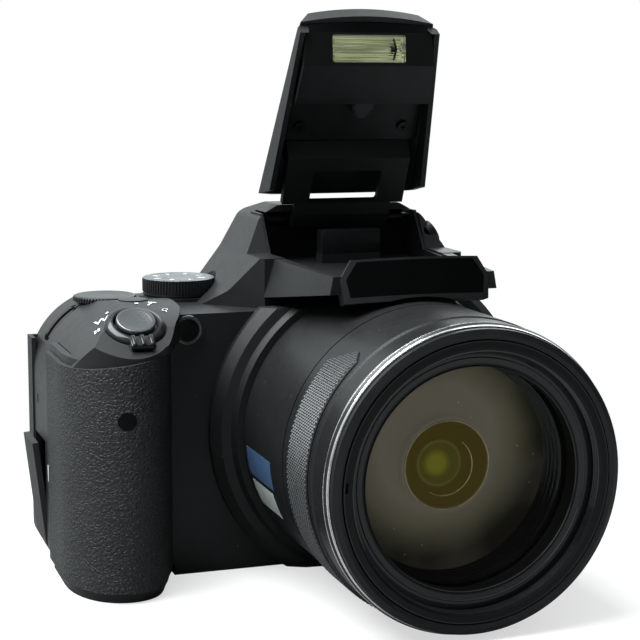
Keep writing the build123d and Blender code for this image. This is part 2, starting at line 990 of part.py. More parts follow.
flash_button_radius = 3.6
flash_button_y = -4.0
flash_button_height = 93.5
flash_button_proud = 0.8
flash_button_tilt = 30.0
flash_button_x = 29.2
flash_button_plane = Plane(
    origin=(flash_button_x, flash_button_y, flash_button_height),
    x_dir=(0, 1, 0),
    z_dir=(cos(radians(flash_button_tilt)), 0, sin(radians(flash_button_tilt))),
)

with BuildPart() as lobe_shell:
    add(lobe_form(0))
    add(lobe_form(wall), mode=Mode.SUBTRACT)
    split(bisect_by=rubber_top, keep=Keep.TOP)
    add(casing.part, mode=Mode.SUBTRACT)

with BuildPart() as top_cover:
    extrude(casing_face(-back_depth, 0), amount=front_depth + back_depth)
    extrude(
        casing_face(wall - back_depth, wall),
        amount=front_depth + back_depth - 2 * wall,
        mode=Mode.SUBTRACT,
    )
    split(bisect_by=Plane.XY.offset(top_seam), keep=Keep.TOP)
    add(hump.part)
    add(nose.part)
    with BuildSketch(Plane.XZ.offset(-hump_rear_depth)):
        with BuildLine():
            FilletPolyline(
                (-finder_case_half, finder_case_low),
                (finder_case_half, finder_case_low),
                (finder_case_half - finder_taper, finder_case_high),
                (finder_taper - finder_case_half, finder_case_high),
                radius=finder_round,
                close=True,
            )
        make_face()
    extrude(amount=hump_rear_depth)
    # Space inside, below the well and behind it
    add(
        block(
            -hump_waist_half + wall,
            hump_waist_half - wall,
            at(base_seam + 2),
            back_depth - wall,
            top_seam,
            well_floor - wall,
        ),
        mode=Mode.SUBTRACT,
    )
    add(
        block(-finder_half, finder_half, 0, finder_rear, finder_low, finder_case_high - wall),
        mode=Mode.SUBTRACT,
    )
    add(
        block(
            -eye_half,
            eye_half,
            finder_rear - wall,
            finder_rear + overrun,
            eye_height - eye_rise,
            eye_height + eye_rise,
        ),
        mode=Mode.SUBTRACT,
    )
    add(upper_tray)
    add(recess_space, mode=Mode.SUBTRACT)
    add(flange_hole, mode=Mode.SUBTRACT)
    add(well_outer, mode=Mode.SUBTRACT)
    add(
        rod(barrel_radius + nose_clear, nose_front_depth + 2 * overrun, front_depth),
        mode=Mode.SUBTRACT,
    )
    add(barrel_hole, mode=Mode.SUBTRACT)
    # The lobe over the grip
    add(lobe_form(wall), mode=Mode.SUBTRACT)
    add(lobe_shell.part)
    # Rim of the assist lamp, collar of the mode dial
    with BuildSketch(Plane.XZ.offset(front_depth - wall / 2)):
        with Locations((lamp_x, lamp_height)):
            Circle(lamp_radius + lamp_rim)
    extrude(amount=wall / 2 + lamp_proud)
    with BuildSketch(Plane.XZ.offset(front_depth - wall - overrun)):
        with Locations((lamp_x, lamp_height)):
            Circle(lamp_radius + seat_gap)
    extrude(amount=wall + 2 * overrun, mode=Mode.SUBTRACT)
    with BuildSketch(Plane.XY.offset(deck_height - wall / 2)):
        with Locations((dial_x, dial_y)):
            Circle(dial_radius + collar_grow)
    extrude(amount=wall / 2 + collar_grow)
    # Holes for the stems of the dials and buttons
    with BuildSketch(Plane.XY.offset(deck_height - wall - overrun)):
        with Locations((dial_x, dial_y), (wheel_x, wheel_y)):
            Circle(stem_radius + seat_gap)
        with Locations((power_x, power_y)):
            Circle(power_radius + button_gap)
    extrude(amount=wall + 2 * overrun, mode=Mode.SUBTRACT)
    with BuildSketch(lever_plane.offset(-lever_sink)):
        Circle(lever_radius + free_gap)
        Circle(lever_bore - seat_gap, mode=Mode.SUBTRACT)
    extrude(amount=overrun, mode=Mode.SUBTRACT)
    with BuildSketch(lever_plane.offset(hub_top)):
        Circle(lever_bore)
    extrude(amount=overrun, mode=Mode.SUBTRACT)
    with BuildSketch(lever_plane.offset(seat_gap)):
        Circle(tab_far + free_gap)
    extrude(amount=overrun, mode=Mode.SUBTRACT)
    # Room for the wheel and the dial where the lobe and the hump come near
    with BuildSketch(Plane.XY.offset(deck_height)):
        with Locations((wheel_x, wheel_y)):
            Circle(wheel_radius + free_gap)
    extrude(amount=2 * overrun, mode=Mode.SUBTRACT)
    with BuildSketch(Plane.XY.offset(deck_height - wall / 2 + wall / 2 + collar_grow)):
        with Locations((dial_x, dial_y)):
            Circle(dial_radius + free_gap)
    extrude(amount=2 * overrun, mode=Mode.SUBTRACT)
    with BuildSketch(lever_plane.offset(-overrun - overrun)):
        Circle(shutter_stem + button_gap)
    extrude(amount=2 * overrun, mode=Mode.SUBTRACT)
    # Pockets and slots for the strap
    add(left_upper_pocket)
    add(right_upper_pocket)
    add(left_strap_slot, mode=Mode.SUBTRACT)
    add(right_strap_slot, mode=Mode.SUBTRACT)
    add(strap_bar(left_strap_plane, bar_radius + seat_gap), mode=Mode.SUBTRACT)
    add(strap_bar(right_strap_plane, bar_radius + seat_gap), mode=Mode.SUBTRACT)
    # Hole of the flash release button in the side of the hump
    with BuildSketch(flash_button_plane.offset(-overrun)):
        Circle(flash_button_radius + button_gap)
    extrude(amount=2 * overrun, mode=Mode.SUBTRACT)
    with BuildSketch(Plane.XY.offset(deck_height - wall)):
        with Locations((dial_x, dial_y)):
            Circle(2 * stem_radius)
    extrude(amount=-wall, mode=Mode.SUBTRACT)
    # Seat of the blank plate
    add(plate_seat.part, mode=Mode.SUBTRACT)
top_cover.part.label = "top_cover"
export_step(top_cover.part, "parts/top_cover.step")

# Tray of the flash well, with the raised block that shows in the bracket's window
catch_half = 9.2
catch_front = 13.0
catch_rear = 7.6
catch_top = 95.9
pin_radius = 0.9
with BuildPart() as flash_well:
    add(well_space(seat_gap))
    add(well_space(well_wall), mode=Mode.SUBTRACT)
    add(block(-catch_half, catch_half, at(catch_front), at(catch_rear), well_floor + seat_gap, catch_top))
    extrude(
        side_face(
            [
                (well_front_depth + overrun, nose_rim - nose_lip - well_rim_drop),
                (well_front_depth, nose_rim - nose_lip - well_rim_drop),
                (shoulder_low_depth, nose_rim - well_rim_drop),
                (shoulder_top_depth + well_rim_drop, hump_height - well_skin - well_rim_drop),
                (-well_back - overrun, hump_height - well_skin - well_rim_drop),
                (-well_back - overrun, hump_height + 2 * overrun),
                (well_front_depth + overrun, hump_height + 2 * overrun),
            ],
            -grip_reach,
        ),
        amount=2 * grip_reach,
        mode=Mode.SUBTRACT,
    )
    add(
        block(
            well_wall - well_rear_half,
            well_rear_half - well_wall,
            at(well_front_depth),
            well_back - well_wall,
            nose_rim,
            hump_height,
        ),
        mode=Mode.SUBTRACT,
    )
    with BuildSketch(head_side.offset(-grip_reach)):
        Circle(pin_radius + seat_gap)
    extrude(amount=2 * grip_reach, mode=Mode.SUBTRACT)
flash_well.part.label = "flash_well"
export_step(flash_well.part, "parts/flash_well.step")

# Blank plate on the front of the nose
with BuildPart() as name_plate:
    extrude(plate_outline(0, 0), amount=bezel_depth + overrun)
    add(plate_drum(plate_bow_radius), mode=Mode.INTERSECT)
    add(plate_drum(plate_bow_radius - plate_thickness), mode=Mode.SUBTRACT)
name_plate.part.label = "name_plate"
export_step(name_plate.part, "parts/name_plate.step")

# Flash lid: a crowned shell
lid_top_rear_half = 19.8
lid_top_front_half = 16.6
lid_knee_rear_half = 25.7
lid_knee_front_half = 20.6
lid_top_rear = 4.75
lid_top_front = 8.9
lid_knee_rear = 1.0
lid_knee_front = 3.6
lid_crown = 0.5
lid_span = 70.0
lid_base = 8.0


def lid_face(share, inset):
    """Section of the lid at a share of its span."""
    top_half = lid_top_rear_half + (lid_top_front_half - lid_top_rear_half) * share - inset
    knee_half = lid_knee_rear_half + (lid_knee_front_half - lid_knee_rear_half) * share - inset
    top = inset - lid_top_rear + (lid_top_rear - lid_top_front) * share
    knee = inset / 2 - lid_knee_rear + (lid_knee_rear - lid_knee_front) * share
    with BuildSketch(head_section(lid_span * share)) as face:
        with BuildLine():
            Polyline(
                (top_half, top), (knee_half, knee), (knee_half, lid_base), (-knee_half, lid_base)
            )
            Polyline((-knee_half, lid_base), (-knee_half, knee), (-top_half, top))
            ThreePointArc((-top_half, top), (0, top - lid_crown), (top_half, top))
        make_face()
    return face.sketch


lid_rear_top = (4.3, -6.5)
lid_rear_low = (14.5, 6.3)
lid_side_low = (42.0, 2.5)
lid_front_low = (62.4, -0.6)
lid_lip_low = (62.6, -4.3)
lid_lip_tip = (70.0, -5.3)


def lid_side(grow):
    """Side view of the lid: everything above its lower rim."""
    with BuildSketch(head_side.offset(-grip_reach)) as face:
        with BuildLine():
            Polyline(
                lid_rear_top,
                (lid_rear_low[0], lid_rear_low[1] + grow),
                (lid_side_low[0], lid_side_low[1] + grow),
                (lid_front_low[0], lid_front_low[1] + grow),
                (lid_lip_low[0], lid_lip_low[1] + grow),
                (lid_lip_tip[0], lid_lip_tip[1] + grow),
                (lid_span, -lid_span),
                (-lid_span / 2, -lid_span),
                close=True,
            )
        make_face()
    return face.sketch


def lid_plan(inset):
    """Plan of the lid with its bowed front end."""
    with BuildSketch(head_face.offset(-lid_span)) as face:
        with BuildLine():
            Polyline(
                (lid_knee_front_half + overrun, lid_length - inset - lid_bow / 4),
                (lid_knee_front_half + overrun, -lid_span),
                (-lid_knee_front_half - overrun, -lid_span),
                (-lid_knee_front_half - overrun, lid_length - inset - lid_bow / 4),
            )
            ThreePointArc(
                (-lid_knee_front_half - overrun, lid_length - inset - lid_bow / 4),
                (0, lid_length + lid_bow - inset),
                (lid_knee_front_half + overrun, lid_length - inset - lid_bow / 4),
            )
        make_face()
    return face.sketch


with BuildPart() as lid_space:
    loft([lid_face(0, lid_wall), lid_face(1, lid_wall)], ruled=True)
    extrude(lid_plan(lid_wall), amount=2 * lid_span, mode=Mode.INTERSECT)

with BuildPart() as lid_room:
    loft([lid_face(0, lid_wall + seat_gap), lid_face(1, lid_wall + seat_gap)], ruled=True)
    extrude(lid_plan(lid_wall + seat_gap), amount=2 * lid_span, mode=Mode.INTERSECT)

with BuildPart() as flash_lid:
    loft([lid_face(0, 0), lid_face(1, 0)], ruled=True)
    extrude(lid_plan(0), amount=2 * lid_span, mode=Mode.INTERSECT)
    extrude(lid_side(0), amount=2 * grip_reach, mode=Mode.INTERSECT)
    add(lid_space.part, mode=Mode.SUBTRACT)
flash_lid.part.label = "flash_lid"
export_step(flash_lid.part, "parts/flash_lid.step")

# Inner panel of the head: screwed floor, step, lower face and slanted glossy face
panel_floor = -1.2
panel_floor_start = 26.9
panel_step = 42.2
panel_step_top = 4.2
panel_bend = 54.2
panel_bend_top = 3.3
panel_end = 62.0
panel_end_top = -1.9
panel_thickness = 1.4
panel_rear_half = 21.6
panel_front_half = 18.9
hook_x = 4.5
hook_half = 2.6
hook_shoulder = 39.2
hook_tip = 36.8
facet_angle = atan2(panel_end_top - panel_bend_top, panel_end - panel_bend)
facet_origin = hinge_point + head_up * panel_bend + head_in * panel_bend_top
facet_along = head_up * cos(facet_angle) + head_in * sin(facet_angle)
facet_out = head_in * cos(facet_angle) - head_up * sin(facet_angle)
facet = Plane(origin=facet_origin, x_dir=(1, 0, 0), z_dir=facet_out)
window_half = 11.15
window_low = 0.9
window_tall = 7.9
window_thick = 1.2
window_round = 0.8
screw_x = 16.2
screw_u = 31.6
small_head_radius = 1.75
small_head_height = 0.9
small_shank_radius = 0.8

with BuildPart() as flash_panel:
    with BuildSketch(head_side.offset(-panel_rear_half)):
        with BuildLine():
            Polyline(
                (panel_floor_start, panel_floor),
                (panel_step, panel_floor),
                (panel_step, panel_step_top),
                (panel_bend, panel_bend_top),
                (panel_end, panel_end_top),
                (panel_end - panel_thickness, panel_end_top - panel_thickness),
                (panel_bend - panel_thickness / 2, panel_bend_top - panel_thickness),
                (panel_step + panel_thickness, panel_step_top - panel_thickness),
                (panel_step + panel_thickness, panel_floor - panel_thickness),
                (panel_floor_start, panel_floor - panel_thickness),
                close=True,
            )
        make_face()
    extrude(amount=2 * panel_rear_half)
    with BuildSketch(head_face.offset(-lid_base)):
        with BuildLine():
            Polyline(
                (-panel_rear_half, panel_floor_start - overrun),
                (panel_rear_half, panel_floor_start - overrun),
                (panel_rear_half, panel_floor_start),
                (panel_front_half, panel_end + overrun),
                (-panel_front_half, panel_end + overrun),
                (-panel_rear_half, panel_floor_start),
                close=True,
            )
        make_face()
    extrude(amount=2 * lid_base + overrun, mode=Mode.INTERSECT)
    with BuildSketch(facet.offset(-overrun)):
        with Locations((0, window_low + window_tall / 2)):
            RectangleRounded(2 * window_half, window_tall, window_round)
    extrude(amount=2 * overrun, mode=Mode.SUBTRACT)
    with BuildSketch(head_face.offset(-overrun)):
        with Locations((-screw_x, screw_u), (screw_x, screw_u)):
            Circle(small_shank_radius + seat_gap)
    extrude(amount=overrun, mode=Mode.SUBTRACT)
    # Pointed catch below the step
    with BuildSketch(head_face.offset(panel_floor)):
        with BuildLine():
            Polyline(
                (hook_x - hook_half, panel_step),
                (hook_x - hook_half, hook_shoulder),
                (hook_x, hook_tip),
                (hook_x + hook_half, hook_shoulder),
                (hook_x + hook_half, panel_step),
                close=True,
            )
        make_face()
    extrude(amount=hook_half)
    add(lid_room.part, mode=Mode.INTERSECT)
flash_panel.part.label = "flash_panel"
export_step(flash_panel.part, "parts/flash_panel.step")

with BuildPart() as flash_window:
    with BuildSketch(facet.offset(-window_thick)):
        with Locations((0, window_low + window_tall / 2)):
            RectangleRounded(
                2 * (window_half - seat_gap), window_tall - 2 * seat_gap, window_round - seat_gap
            )
    extrude(amount=window_thick)
flash_window.part.label = "flash_window"
export_step(flash_window.part, "parts/flash_window.step")

# Reflector trough with the flash tube across it
trough_depth = 4.6
trough_inset = 0.3
trough_wall = 0.5
tube_radius = 1.1
trough_gap = 0.1
trough_taper = 14
trough_bore_taper = 16
with BuildPart() as flash_reflector:
    with BuildSketch(facet.offset(-window_thick - trough_gap)):
        with Locations((0, window_low + window_tall / 2)):
            Rectangle(2 * (window_half - trough_inset), window_tall - 2 * trough_inset)
    extrude(amount=-trough_depth, taper=trough_taper)
    with BuildSketch(facet.offset(-window_thick - trough_gap)):
        with Locations((0, window_low + window_tall / 2)):
            Rectangle(
                2 * (window_half - trough_inset - trough_wall),
                window_tall - 2 * (trough_inset + trough_wall),
            )
    extrude(
        amount=-(trough_depth - trough_wall), taper=trough_bore_taper, mode=Mode.SUBTRACT
    )
    with BuildSketch(
        Plane(
            origin=facet_origin
            + facet_along * (window_low + window_tall / 2)
            - facet_out * (window_thick + trough_depth / 2)
            - Vector(window_half - trough_inset - trough_wall, 0, 0),
            x_dir=facet_along,
            z_dir=(1, 0, 0),
        )
    ):
        Circle(tube_radius)
    extrude(amount=2 * (window_half - trough_inset - trough_wall))
flash_reflector.part.label = "flash_reflector"
export_step(flash_reflector.part, "parts/flash_reflector.step")

# Bracket between the hinge and the lid, with its window
bracket_half = 19.2
bracket_low_half = 15.3
bracket_thick = 2.0
bracket_low = 8.0
bracket_low_top = 4.3
bracket_high = 22.9
bracket_high_top = 3.0
bracket_shelf = 26.6
bracket_tail = 40.0
bracket_tail_top = panel_floor - panel_thickness
bracket_neck = 4.6
bracket_neck_top = 5.4
boss_outer = 2.2
window_bracket_half = 10.8
window_bracket_low = 8.6
window_bracket_high = 18.8

with BuildPart() as flash_bracket:
    with BuildSketch(head_side.offset(-bracket_half)):
        with BuildLine():
            Polyline(
                (bracket_low, bracket_low_top),
                (bracket_high, bracket_high_top),
                (bracket_shelf, panel_floor),
                (bracket_shelf, bracket_tail_top),
                (bracket_tail, bracket_tail_top),
                (bracket_tail, bracket_tail_top - bracket_thick),
                (bracket_high - bracket_thick, bracket_tail_top - bracket_thick),
                (bracket_high - bracket_thick, bracket_high_top - bracket_thick),
                (bracket_low, bracket_low_top - bracket_thick),
                close=True,
            )
        make_face()
    extrude(amount=2 * bracket_half)
    add(lid_room.part, mode=Mode.INTERSECT)
    with BuildSketch(head_side.offset(-bracket_low_half)):
        with BuildLine():
            Polyline(
                (0, boss_outer * 0.8),
                (bracket_thick / 4, bracket_neck_top + seat_gap),
                (bracket_neck, bracket_neck_top),
                (bracket_low, bracket_low_top),
                (bracket_low, bracket_low_top - bracket_thick),
                (bracket_neck, bracket_low_top - bracket_thick / 2),
                (boss_outer, boss_outer / 2),
                (boss_outer, 0),
                close=True,
            )
        make_face()
        Circle(boss_outer)
        Circle(pin_radius + seat_gap, mode=Mode.SUBTRACT)
    extrude(amount=2 * bracket_low_half)
    with BuildSketch(head_face.offset(-overrun)):
        with Locations((0, (window_bracket_low + window_bracket_high) / 2)):
            RectangleRounded(
                2 * window_bracket_half, window_bracket_high - window_bracket_low, window_round
            )
    extrude(amount=3 * overrun, mode=Mode.SUBTRACT)
    with BuildSketch(head_face.offset(-overrun)):
        with Locations((-screw_x, screw_u), (screw_x, screw_u)):
            Circle(small_shank_radius + seat_gap)
    extrude(amount=overrun, mode=Mode.SUBTRACT)
flash_bracket.part.label = "flash_bracket"
export_step(flash_bracket.part, "parts/flash_bracket.step")

with BuildPart() as flash_screws:
    with BuildSketch(head_face.offset(panel_floor)):
        with Locations((-screw_x, screw_u), (screw_x, screw_u)):
            Circle(small_head_radius)
    extrude(amount=small_head_height)
    with BuildSketch(head_face.offset(panel_floor + small_head_height / 2)):
        with Locations((-screw_x, screw_u), (screw_x, screw_u)):
            Rectangle(2 * small_shank_radius, small_shank_radius / 2)
            Rectangle(small_shank_radius / 2, 2 * small_shank_radius)
    extrude(amount=small_head_height, mode=Mode.SUBTRACT)
    with BuildSketch(head_face.offset(panel_floor + small_head_height / 3)):
        with Locations((-screw_x, screw_u), (screw_x, screw_u)):
            Circle(small_shank_radius)
    extrude(amount=-small_head_height / 3 - panel_thickness - bracket_thick)
flash_screws.part.label = "flash_screws"
export_step(flash_screws.part, "parts/flash_screws.step")

# Hinge pin across the well, and a torsion spring on each end of it
spring_radius = 2.0
spring_bore = 1.15
spring_long = 6.0
pin_half = well_rear_half - 2 * seat_gap
with BuildPart() as flash_pin:
    with BuildSketch(head_side.offset(-pin_half)):
        Circle(pin_radius)
    extrude(amount=2 * pin_half)
flash_pin.part.label = "flash_pin"
export_step(flash_pin.part, "parts/flash_pin.step")

with BuildPart() as flash_springs:
    for side in (-1, 1):
        with BuildSketch(head_side.offset(side * (bracket_low_half + free_gap + spring_long / 2))):
            Circle(spring_radius)
            Circle(spring_bore, mode=Mode.SUBTRACT)
        extrude(amount=spring_long / 2, both=True)
flash_springs.part.label = "flash_springs"
export_step(flash_springs.part, "parts/flash_springs.step")

# Collar round the root of the lens barrel
collar_top = 76.3
collar_land = 2.4
collar_cone_radius = 46.0
collar_cone_long = 5.0
collar_neck_radius = 43.4
collar_neck_long = 5.6
collar_front_radius = 42.4
with BuildPart() as barrel_collar:
    add(
        lens_turn(
            [
                (barrel_radius + seat_gap, front_depth),
                (drum_radius, front_depth),
                (drum_radius, front_depth + collar_land),
                (collar_cone_radius, front_depth + collar_cone_long),
                (collar_neck_radius, front_depth + collar_neck_long),
                (collar_front_radius, collar_front_depth),
                (barrel_radius + seat_gap, collar_front_depth),
            ]
        )
    )
    split(bisect_by=Plane.XY.offset(collar_top), keep=Keep.BOTTOM)
    split(bisect_by=Plane.XY, keep=Keep.TOP)
barrel_collar.part.label = "barrel_collar"
export_step(barrel_collar.part, "parts/barrel_collar.step")

# Fixed lens barrel, with a flange behind the front wall and a pocket for the side zoom key
key_depth = 56.0
key_half_long = 7.8
key_half_wide = 6.0
key_floor = 38.7
barrel_rear_depth = 23.0
groove_depth = 70.7
groove_width = 0.6
groove_radius = 40.1
lip_bore = 37.47
lip_rear_depth = 89.0
edge_break = 0.5
with BuildPart() as lens_barrel:
    add(
        lens_turn(
            [
                (barrel_bore, barrel_rear_depth),
                (barrel_radius, barrel_rear_depth),
                (barrel_radius, groove_depth),
                (groove_radius, groove_depth),
                (groove_radius, groove_depth + groove_width),
                (barrel_radius, groove_depth + groove_width),
                (barrel_radius, barrel_front_depth - edge_break),
                (barrel_radius - edge_break, barrel_front_depth),
                (lip_bore, barrel_front_depth),
                (lip_bore, lip_rear_depth),
                (barrel_bore, lip_rear_depth),
            ]
        )
    )
    with BuildSketch(Plane.XZ.offset(barrel_rear_depth)):
        with Locations((0, axis_height)):
            Circle(barrel_flange_radius)
            Circle(barrel_bore, mode=Mode.SUBTRACT)
        with Locations((0, base_thickness + seat_gap - axis_height)):
            Rectangle(4 * barrel_radius, 2 * axis_height, mode=Mode.SUBTRACT)
    extrude(amount=barrel_flange)
    add(
        block(
            key_floor,
            barrel_flange_radius,
            at(key_depth + key_half_wide),
            at(key_depth - key_half_wide),
            axis_height - key_half_long,
            axis_height + key_half_long,
        ),
        mode=Mode.SUBTRACT,
    )
lens_barrel.part.label = "lens_barrel"
export_step(lens_barrel.part, "parts/lens_barrel.step")

# Knurled band: under the barrel and up both sides to a slanted end
band_radius = 41.0
band_rear_depth = 75.0
band_front_depth = 91.5
band_tip_depth = 87.3
band_angle = 133.0
band_rear_fall = 3.2
band_tip_rise = 3.0


def band_end(angle):
    """The space above one end of the band, seen square to the barrel at an angle."""
    out = Vector(cos(radians(angle)), 0, sin(radians(angle)))
    up = Vector(-out.Z, 0, out.X)
    if up.Z < 0:
        up = up * -1
    end_plane = Plane(origin=(0, 0, axis_height), x_dir=up, z_dir=out)
    side = 1 if end_plane.y_dir.Y < 0 else -1
    with BuildPart() as form:
        with BuildSketch(end_plane):
            with BuildLine():
                Polyline(
                    (-band_rear_fall, side * band_rear_depth),
                    (band_tip_rise, side * band_tip_depth),
                    (0, side * band_front_depth),
                    (0, side * (band_front_depth + overrun)),
                    (drum_radius, side * (band_front_depth + overrun)),
                    (drum_radius, side * (band_rear_depth - overrun)),
                    (-band_rear_fall, side * (band_rear_depth - overrun)),
                    close=True,
                )
            make_face()
        extrude(amount=drum_radius)
    return form.part


with BuildPart() as barrel_grip_band:
    add(
        lens_turn(
            [
                (barrel_radius + seat_gap, band_rear_depth),
                (band_radius, band_rear_depth),
                (band_radius, band_front_depth),
                (barrel_radius + seat_gap, band_front_depth),
            ]
        )
    )
    add(band_end(band_angle), mode=Mode.SUBTRACT)
    add(band_end(180 - band_angle), mode=Mode.SUBTRACT)
    add(
        block(
            -band_radius * cos(radians(180 - band_angle)) - seat_gap,
            band_radius * cos(radians(180 - band_angle)) + seat_gap,
            at(band_front_depth + overrun),
            at(band_rear_depth - overrun),
            axis_height + barrel_radius / 2,
            2 * axis_height + overrun,
        ),
        mode=Mode.SUBTRACT,
    )
barrel_grip_band.part.label = "barrel_grip_band"
export_step(barrel_grip_band.part, "parts/barrel_grip_band.step")

# Chassis: plate with a shelf, posts, screw feet and the battery and card holder
chassis_left = 55.5
chassis_top = 68.8
shelf_top = 70.85
chassis_thick = 1.95
chassis_rear_depth = 21.0
chassis_low = 3.2
light_half_wide = 13.0
light_half_tall = 9.0
board_left = 44.0
board_right = 40.0
board_low = 8.0
board_high = 64.0
board_thick = 1.6
board_depth = 8.0
post_radius = 2.2
post_left = -40.0
post_right = 34.0
post_low = 20.0
post_high = 60.0
post_spots = (
    (post_left, post_low),
    (post_left, post_high),
    (post_right, post_low),
    (post_right, post_high),
)
# Chips and a screened part on the board: sides, rear depth, foot and top
board_chips = (
    (-30.0, -12.0, 4.6, 26.0, 44.0),
    (-4.0, 10.0, 5.0, 44.0, 56.0),
    (16.0, 32.0, 4.0, 22.0, 48.0),
)
shelf_half = 20.0
shelf_rear_depth = 7.0
shelf_thick = 0.85
capacitor_radius = 6.0
capacitor_half = 17.0
capacitor_depth = 14.0
capacitor_height = 76.9
battery_left = 82.5
battery_right = 72.0
battery_front = 39.2
battery_rear = 12.8
battery_low = 2.3
battery_high = 48.3
battery_round = 1.8
card_corner = 3.6
card_left = 69.9
card_right = 67.8
card_front = 37.0
card_rear = 13.0
card_low = 2.3
card_high = 34.3
slot_gap = 0.2
holder_left = 83.9
holder_right = 66.9
holder_front = 40.2
holder_rear = 11.8
holder_high = 49.5
motor_x = -50.6
motor_height = 58.0
motor_radius = 6.0
motor_rear_depth = 2.0

with BuildPart() as holder:
    add(
        block(
            -holder_left,
            -holder_right,
            at(holder_front),
            at(holder_rear),
            chassis_low,
            holder_high,
        )
    )
    add(grip_form(rubber_thickness + wall + free_gap), mode=Mode.INTERSECT)

battery_space = block(
    -battery_left - slot_gap,
    -battery_right + slot_gap,
    at(battery_front + slot_gap),
    at(battery_rear - slot_gap),
    0,
    battery_high + slot_gap,
)
card_space = block(
    -card_left - slot_gap,
    -card_right + slot_gap,
    at(card_front + slot_gap),
    at(card_rear - slot_gap),
    0,
    card_high + slot_gap,
)

with BuildPart() as chassis:
    extrude(casing_face(chassis_rear_depth, wall + free_gap), amount=chassis_thick)
    add(
        block(
            -chassis_left,
            drum_radius,
            at(barrel_rear_depth),
            at(chassis_rear_depth),
            chassis_low,
            chassis_top,
        ),
        mode=Mode.INTERSECT,
    )
    add(
        block(
            -holder_right,
            -chassis_left,
            at(chassis_rear_depth + chassis_thick),
            at(chassis_rear_depth),
            board_low,
            holder_high,
        )
    )
    add(holder.part)
    add(
        block(
            -light_half_wide,
            light_half_wide,
            at(barrel_rear_depth),
            at(chassis_rear_depth - seat_gap),
            axis_height - light_half_tall,
            axis_height + light_half_tall,
        ),
        mode=Mode.SUBTRACT,
    )
    with BuildSketch(Plane.XZ.offset(board_depth + seat_gap)):
        with Locations(*post_spots):
            Circle(post_radius)
    extrude(amount=chassis_rear_depth - board_depth - seat_gap)
    add(
        block(
            -shelf_half,
            shelf_half,
            at(chassis_rear_depth),
            at(shelf_rear_depth),
            shelf_top - shelf_thick,
            shelf_top,
        )
    )
    add(
        block(
            -shelf_half,
            shelf_half,
            at(chassis_rear_depth + chassis_thick),
            at(chassis_rear_depth),
            board_high,
            shelf_top,
        )
    )
    with BuildSketch(Plane.XY.offset(base_thickness + seat_gap)):
        with Locations(screw_spots[0], screw_spots[1]):
            Circle(boss_radius)
    extrude(amount=boss_height)
    for foot_x in (boss_x_left, boss_x_right):
        add(
            block(
                foot_x - screw_shank,
                foot_x + screw_shank,
                at(chassis_rear_depth),
                at(screw_front),
                base_thickness + seat_gap,
                base_thickness + boss_height,
            )
        )
    with BuildSketch(Plane.XY.offset(base_thickness)):
        with Locations(screw_spots[0], screw_spots[1]):
            Circle(screw_shank + seat_gap)
    extrude(amount=boss_height + seat_gap, mode=Mode.SUBTRACT)
    add(battery_space, mode=Mode.SUBTRACT)
    add(card_space, mode=Mode.SUBTRACT)
chassis.part.label = "chassis"
export_step(chassis.part, "parts/chassis.step")

with BuildPart() as main_board:
    extrude(casing_face(board_depth - board_thick, wall + free_gap), amount=board_thick)
    add(
        block(
            -board_left,
            board_right,
            at(board_depth),
            at(board_depth - board_thick),
            board_low,
            board_high,
        ),
        mode=Mode.INTERSECT,
    )
    for left, right, rear, low, high in board_chips:
        add(block(left, right, at(board_depth - board_thick), at(rear), low, high))
main_board.part.label = "main_board"
export_step(main_board.part, "parts/main_board.step")

sensor_half_wide = 15.0
sensor_half_tall = 12.0
sensor_thick = 3.6
sensor_round = 1.0
with BuildPart() as image_sensor:
    with BuildSketch(Plane.XZ.offset(chassis_rear_depth - seat_gap)):
        with Locations((0, axis_height)):
            RectangleRounded(2 * sensor_half_wide, 2 * sensor_half_tall, sensor_round)
    extrude(amount=-sensor_thick)
image_sensor.part.label = "image_sensor"
export_step(image_sensor.part, "parts/image_sensor.step")

with BuildPart() as battery:
    with BuildSketch(Plane.XY.offset(battery_low)):
        with Locations(((-battery_left - battery_right) / 2, at((battery_front + battery_rear) / 2))):
            RectangleRounded(
                battery_left - battery_right, battery_front - battery_rear, battery_round
            )
    extrude(amount=battery_high - battery_low)
battery.part.label = "battery"
export_step(battery.part, "parts/battery.step")

with BuildPart() as memory_card:
    with BuildSketch(Plane.YZ.offset(-card_left)):
        with BuildLine():
            Polyline(
                (at(card_front), card_low),
                (at(card_rear), card_low),
                (at(card_rear), card_high),
                (at(card_front - card_corner), card_high),
                (at(card_front), card_high - card_corner),
                close=True,
            )
        make_face()
    extrude(amount=card_left - card_right)
memory_card.part.label = "memory_card"
export_step(memory_card.part, "parts/memory_card.step")

with BuildPart() as flash_capacitor:
    with BuildSketch(Plane.YZ.offset(-capacitor_half)):
        with Locations((at(capacitor_depth), capacitor_height)):
            Circle(capacitor_radius)
    extrude(amount=2 * capacitor_half)
flash_capacitor.part.label = "flash_capacitor"
export_step(flash_capacitor.part, "parts/flash_capacitor.step")

with BuildPart() as zoom_motor:
    with BuildSketch(Plane.XZ.offset(motor_rear_depth)):
        with Locations((motor_x, motor_height)):
            Circle(motor_radius)
    extrude(amount=chassis_rear_depth - seat_gap - motor_rear_depth)
zoom_motor.part.label = "zoom_motor"
export_step(zoom_motor.part, "parts/zoom_motor.step")

# Viewfinder block, eyepiece and its rubber cup
finder_drop = 1.0
finder_inset = 2.0
finder_margin = 1.5
finder_edge_round = 1.5
with BuildPart() as viewfinder_block:
    with BuildSketch(Plane.XZ.offset(-finder_rear + seat_gap)):
        with Locations((0, eye_height - finder_drop)):
            RectangleRounded(
                2 * (finder_half - finder_inset), 2 * (eye_rise + finder_margin), finder_edge_round
            )
    extrude(amount=finder_rear - seat_gap - well_back - free_gap)
viewfinder_block.part.label = "viewfinder_block"
export_step(viewfinder_block.part, "parts/viewfinder_block.step")

